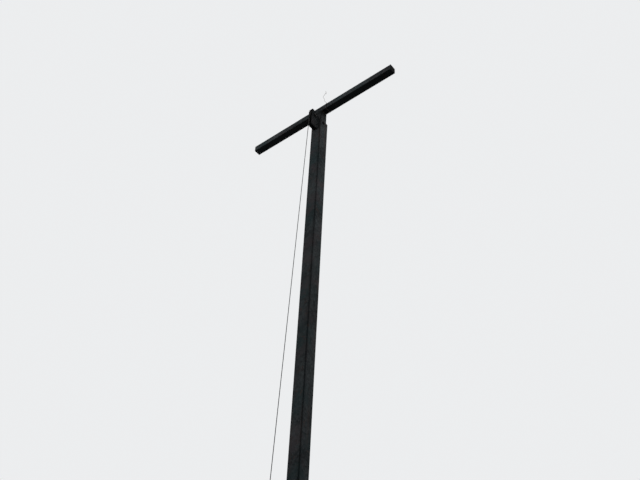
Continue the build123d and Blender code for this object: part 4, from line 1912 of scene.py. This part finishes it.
@dataclass(frozen=True)
class Studio:
    """A pale floor, a pale surround that lights from above, and soft lamps on both sides of the mast."""

    floor_radius: float = 30.0
    floor_sides: int = 96
    floor_colour: Colour = (0.80, 0.81, 0.82)
    floor_bounce: Colour = (0.06, 0.06, 0.06)
    floor_rough: float = 0.9
    surround: Colour = (0.84, 0.85, 0.86)
    horizon: tuple[float, float] = (-0.05, 0.25)
    fill: float = 0.62
    fade: tuple[float, float] = (1.2, 5.5)
    lamps: tuple[Softbox, ...] = (
        Softbox("softbox_left", (-8.5, -4.4, 7.5), (0.0, 0.0, 4.6), 5.0, 600.0),
        Softbox("softbox_right", (4.4, 8.5, 7.5), (0.0, 0.0, 4.6), 5.0, 390.0),
        Softbox("softbox_high_right", (3.2, 1.2, 7.4), (0.0, 0.0, 5.8), 1.6, 55.0),
        Softbox("softbox_low_left", (-5.0, -5.0, 3.6), (0.0, 0.0, 0.6), 4.0, 85.0),
        Softbox("softbox_top", (0.0, 0.0, 12.5), (0.0, 0.0, 0.0), 5.0, 110.0),
    )

    def shown(self, sheet: NodeSheet) -> Socket:
        """Tells the rays that show a surface from those that only light another.

        Args:
            sheet: The sheet to add to.

        Returns:
            1 for camera, glossy and transmission rays, 0 for the rest.
        """
        paths = sheet.add("LightPath").outputs
        seen = sheet.maths("MAXIMUM", paths["Is Camera Ray"], paths["Is Glossy Ray"])
        return sheet.maths("MAXIMUM", seen, paths["Is Transmission Ray"])

    def world(self) -> None:
        """Makes the surround: pale to the eye, and as light a soft dome over the horizon."""
        world = bpy.data.worlds.new("surround")
        bpy.context.scene.world = world
        world.use_nodes = True
        sheet = NodeSheet(world.node_tree)
        height = sheet.add("SeparateXYZ", {0: sheet.add("TexCoord").outputs["Generated"]}).outputs[2]
        dome = sheet.remap(height, *self.horizon, 0.0, self.fill)
        light = sheet.add("Background", {"Color": self.surround, "Strength": dome})
        pale = sheet.add("Background", {"Color": self.surround, "Strength": 1.0})
        both = sheet.add("MixShader", {0: self.shown(sheet), 1: light.outputs[0], 2: pale.outputs[0]})
        sheet.add("OutputWorld", {"Surface": both.outputs[0]})

    def floor(self) -> None:
        """Lays the plain pale floor that the base plate stands on."""
        Bench.clear()
        bpy.ops.mesh.primitive_circle_add(
            vertices=self.floor_sides, radius=self.floor_radius, fill_type="NGON")
        floor = bpy.context.active_object
        floor.name = "floor"
        material, sheet = blank_material("plain_floor")
        shown = self.shown(sheet)
        colour = sheet.mix(shown, self.floor_bounce, self.floor_colour)
        lit = sheet.add("BsdfPrincipled", {"Base Color": colour, "Roughness": self.floor_rough})
        place = sheet.add("TexCoord").outputs["Object"]
        away = sheet.add("VectorMath", {0: place}, operation="LENGTH").outputs["Value"]
        far = sheet.maths("MULTIPLY", sheet.remap(away, *self.fade), shown)
        haze = sheet.add("Emission", {"Color": self.surround, "Strength": 1.0})
        surface = sheet.add("MixShader", {0: far, 1: lit.outputs[0], 2: haze.outputs[0]})
        sheet.add("OutputMaterial", {"Surface": surface.outputs[0]})
        coat(floor, material)

    def build(self) -> None:
        """Puts up the whole studio."""
        self.world()
        self.floor()
        for lamp in self.lamps:
            lamp.place()
        bpy.context.scene.view_settings.view_transform = "Standard"


class Paintwork:
    """Every finish of the mast, and the nodes that each one covers."""

    def __init__(self) -> None:
        """Builds the materials."""
        tube = Span.of("inner_tube").middle
        crossbar = Span.of("crossbar")
        bar = crossbar.middle
        under_bar = crossbar.low.z
        sheave = Span.of("sheave").middle
        gear = Span.of("winch_gear").middle
        upright = (0.0, 0.0, 0.0)
        # Painted shade: the mast tube darkens towards the bottom, fully below 2.6 m and not at all above 6
        # m.
        self.mast = SteelFinish(
            "mast_tube_steel", grime_and_shade=0.42,
            corner=Corner((0.0, 0.0, 0.0), upright, 17.0 * MM, 40.0 * MM, 0.42)).build()
        self.plates = SteelFinish("foot_plate_steel", clouds=8.0, spot_share=0.44, grime_and_shade=0.3).build()
        # Painted shadow of the crossbar: the top of the inner tube is darkened down to 20 mm under the bar,
        # fading out by 62 mm under it.
        self.inner = SteelFinish(
            "inner_tube_steel", light=(0.029, 0.034, 0.036), soot_and_shade=(0.0030, 0.0036, 0.0040), grime_and_shade=0.9,
            grime_and_shade_reach=(under_bar - 20.0 * MM, under_bar - 62.0 * MM),
            corner=Corner((tube.x, tube.y, 0.0), upright, 18.0 * MM, 28.0 * MM, 0.35)).build()
        # Painted shade and dirt on the crossbar's underside: darkened fully up to 1 mm above its bottom
        # face, fading out by 9 mm.
        self.bar = SteelFinish(
            "crossbar_steel", dark=(0.0110, 0.0130, 0.0140), light=(0.0430, 0.0505, 0.0540),
            streak_amount=0.2, grime_and_shade=0.9, grime_and_shade_reach=(under_bar + 1.0 * MM, under_bar + 9.0 * MM),
            corner=Corner((0.0, bar.y, bar.z), ALONG_X, 17.0 * MM, 25.0 * MM, 0.4)).build()
        self.caps = SteelFinish(
            "end_cap_steel", dark=(0.0015, 0.0018, 0.0020), light=(0.0050, 0.0058, 0.0062),
            cool=(0.0028, 0.0045, 0.0048), warm=(0.0052, 0.0044, 0.0046), rust=(0.0080, 0.0048, 0.0038),
            pale=(0.0110, 0.0118, 0.0120), clouds=12.0, cells=140.0, specular=0.02).build()
        self.bracket = SteelFinish(
            "bracket_plate_steel", dark=(0.0046, 0.0056, 0.0062), light=(0.0170, 0.0205, 0.0220),
            cool=(0.0070, 0.0130, 0.0140), warm=(0.0160, 0.0135, 0.0145), rust=(0.0200, 0.0115, 0.0090),
            pale=(0.0330, 0.0350, 0.0360), clouds=9.0, cells=110.0, streak_amount=0.3).build()
        self.weld = SteelFinish(
            "weld_steel", dark=(0.009, 0.010, 0.010), light=(0.034, 0.037, 0.038), spot_share=0.42,
            cells=240.0, specks=700.0, roughness=(0.5, 0.75), specular=0.1).build()
        self.sheave = MetalFinish(
            "sheave_cast_iron", (0.0045, 0.0042, 0.0040), (0.0130, 0.0122, 0.0115),
            stain=(0.016, 0.009, 0.006), metallic=0.0, roughness=(0.65, 0.88), specular=0.08,
            ring=Ring(tuple(sheave), 38.0 * MM, 3.5 * MM)).build()
        self.rope = MetalFinish(
            "rope_greased_wire", (0.0048, 0.0047, 0.0045), (0.0200, 0.0195, 0.0185),
            stain=(0.011, 0.007, 0.005), metallic=0.3, roughness=(0.5, 0.74), specular=0.1, grain=900.0,
            stain_size=60.0, stain_share=0.48).build()
        self.zinc = MetalFinish(
            "dull_zinc", (0.022, 0.022, 0.022), (0.070, 0.070, 0.068), stain=(0.034, 0.019, 0.012),
            metallic=0.55, roughness=(0.5, 0.75), stain_share=0.46).build()
        # Painted shade: the sheave's pin, its nut and the small fittings at the head and the pads are
        # painted very dark, a shaded copy of the zinc, for the shadow on and under the pin's head.
        self.shade_fittings = MetalFinish(
            "fittings_in_painted_shade", (0.0035, 0.0035, 0.0037), (0.0110, 0.0108, 0.0106),
            stain=(0.012, 0.008, 0.006), metallic=0.0, roughness=(0.55, 0.8), specular=0.1,
            stain_share=0.46).build()
        self.pad = PlasticFinish(
            "slide_pad_plastic", (0.0025, 0.0025, 0.0026), (0.0075, 0.0073, 0.0070),
            roughness=(0.6, 0.85), specular=0.06).build()
        self.winch = PaintFinish("winch_grey_paint", (0.050, 0.062, 0.070), (0.085, 0.098, 0.104)).build()
        self.gear = MetalFinish(
            "gear_cast_iron", (0.010, 0.0095, 0.009), (0.050, 0.047, 0.043), metallic=0.5,
            roughness=(0.35, 0.62), ring=Ring(tuple(gear), 54.0 * MM, 3.0 * MM)).build()
        self.grip = PlasticFinish(
            "grip_black_plastic", (0.009, 0.009, 0.0095), (0.040, 0.039, 0.037), grain=700.0).build()
        self.wire = MetalFinish(
            "binding_rusty_wire", (0.030, 0.017, 0.011), (0.095, 0.066, 0.050),
            stain=(0.075, 0.030, 0.012), metallic=0.4, roughness=(0.55, 0.85), grain=1400.0,
            stain_size=220.0, stain_share=0.5).build()

    def cover(self) -> None:
        """Dresses every CAD node."""
        gussets = [f"gusset_{side}" for side in ("back", "left", "front", "right")]
        pads = [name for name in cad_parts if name.startswith("guide_")]
        plan = (
            (self.mast, ["outer_tube"]),
            (self.plates, ["base_plate", *gussets]),
            (self.inner, ["inner_tube", "foot_shoe"]),
            (self.bar, ["crossbar"]),
            (self.caps, ["end_cap_left", "end_cap_right"]),
            (self.bracket, ["sheave_cheek_left", "sheave_cheek_right", "sheave_strap", "winch_bracket"]),
            (self.sheave, ["sheave"]),
            (self.rope, ["lifting_rope", "rope_fall", "winch_rope_coil"]),
            (self.shade_fittings, ["sheave_pin", "sheave_pin_nut"]),
            (self.zinc, ["stop_bolt", "stop_bolt_nut", "rope_anchor", "winch_drum_shaft",
                         "winch_pinion_shaft"]),
            (self.pad, pads),
            (self.winch, ["winch_frame", "winch_drum", "winch_crank"]),
            (self.gear, ["winch_gear", "winch_pinion", "winch_ratchet", "winch_pawl"]),
            (self.grip, ["winch_grip"]),
            (self.wire, ["binding_wire"]),
        )
        for material, nodes in plan:
            for name in nodes:
                coat(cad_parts[name], material)
            LOG.info("%s covers %d nodes", material.name, len(nodes))


def main() -> None:
    """Dresses the mast, adds its pieces and puts up the studio."""
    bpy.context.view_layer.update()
    paint = Paintwork()
    paint.cover()
    LiftingRope().build(paint.rope)
    BindingWire().build(paint.wire)
    MastWelds(Welder()).build(paint.weld)
    HeadFittings().build(paint.shade_fittings)
    PadFittings().build(paint.shade_fittings, paint.pad)
    WinchFittings().build(paint.zinc, paint.grip)
    Studio().build()
    PhotoCamera().place()


if __name__ == "__main__":
    main()
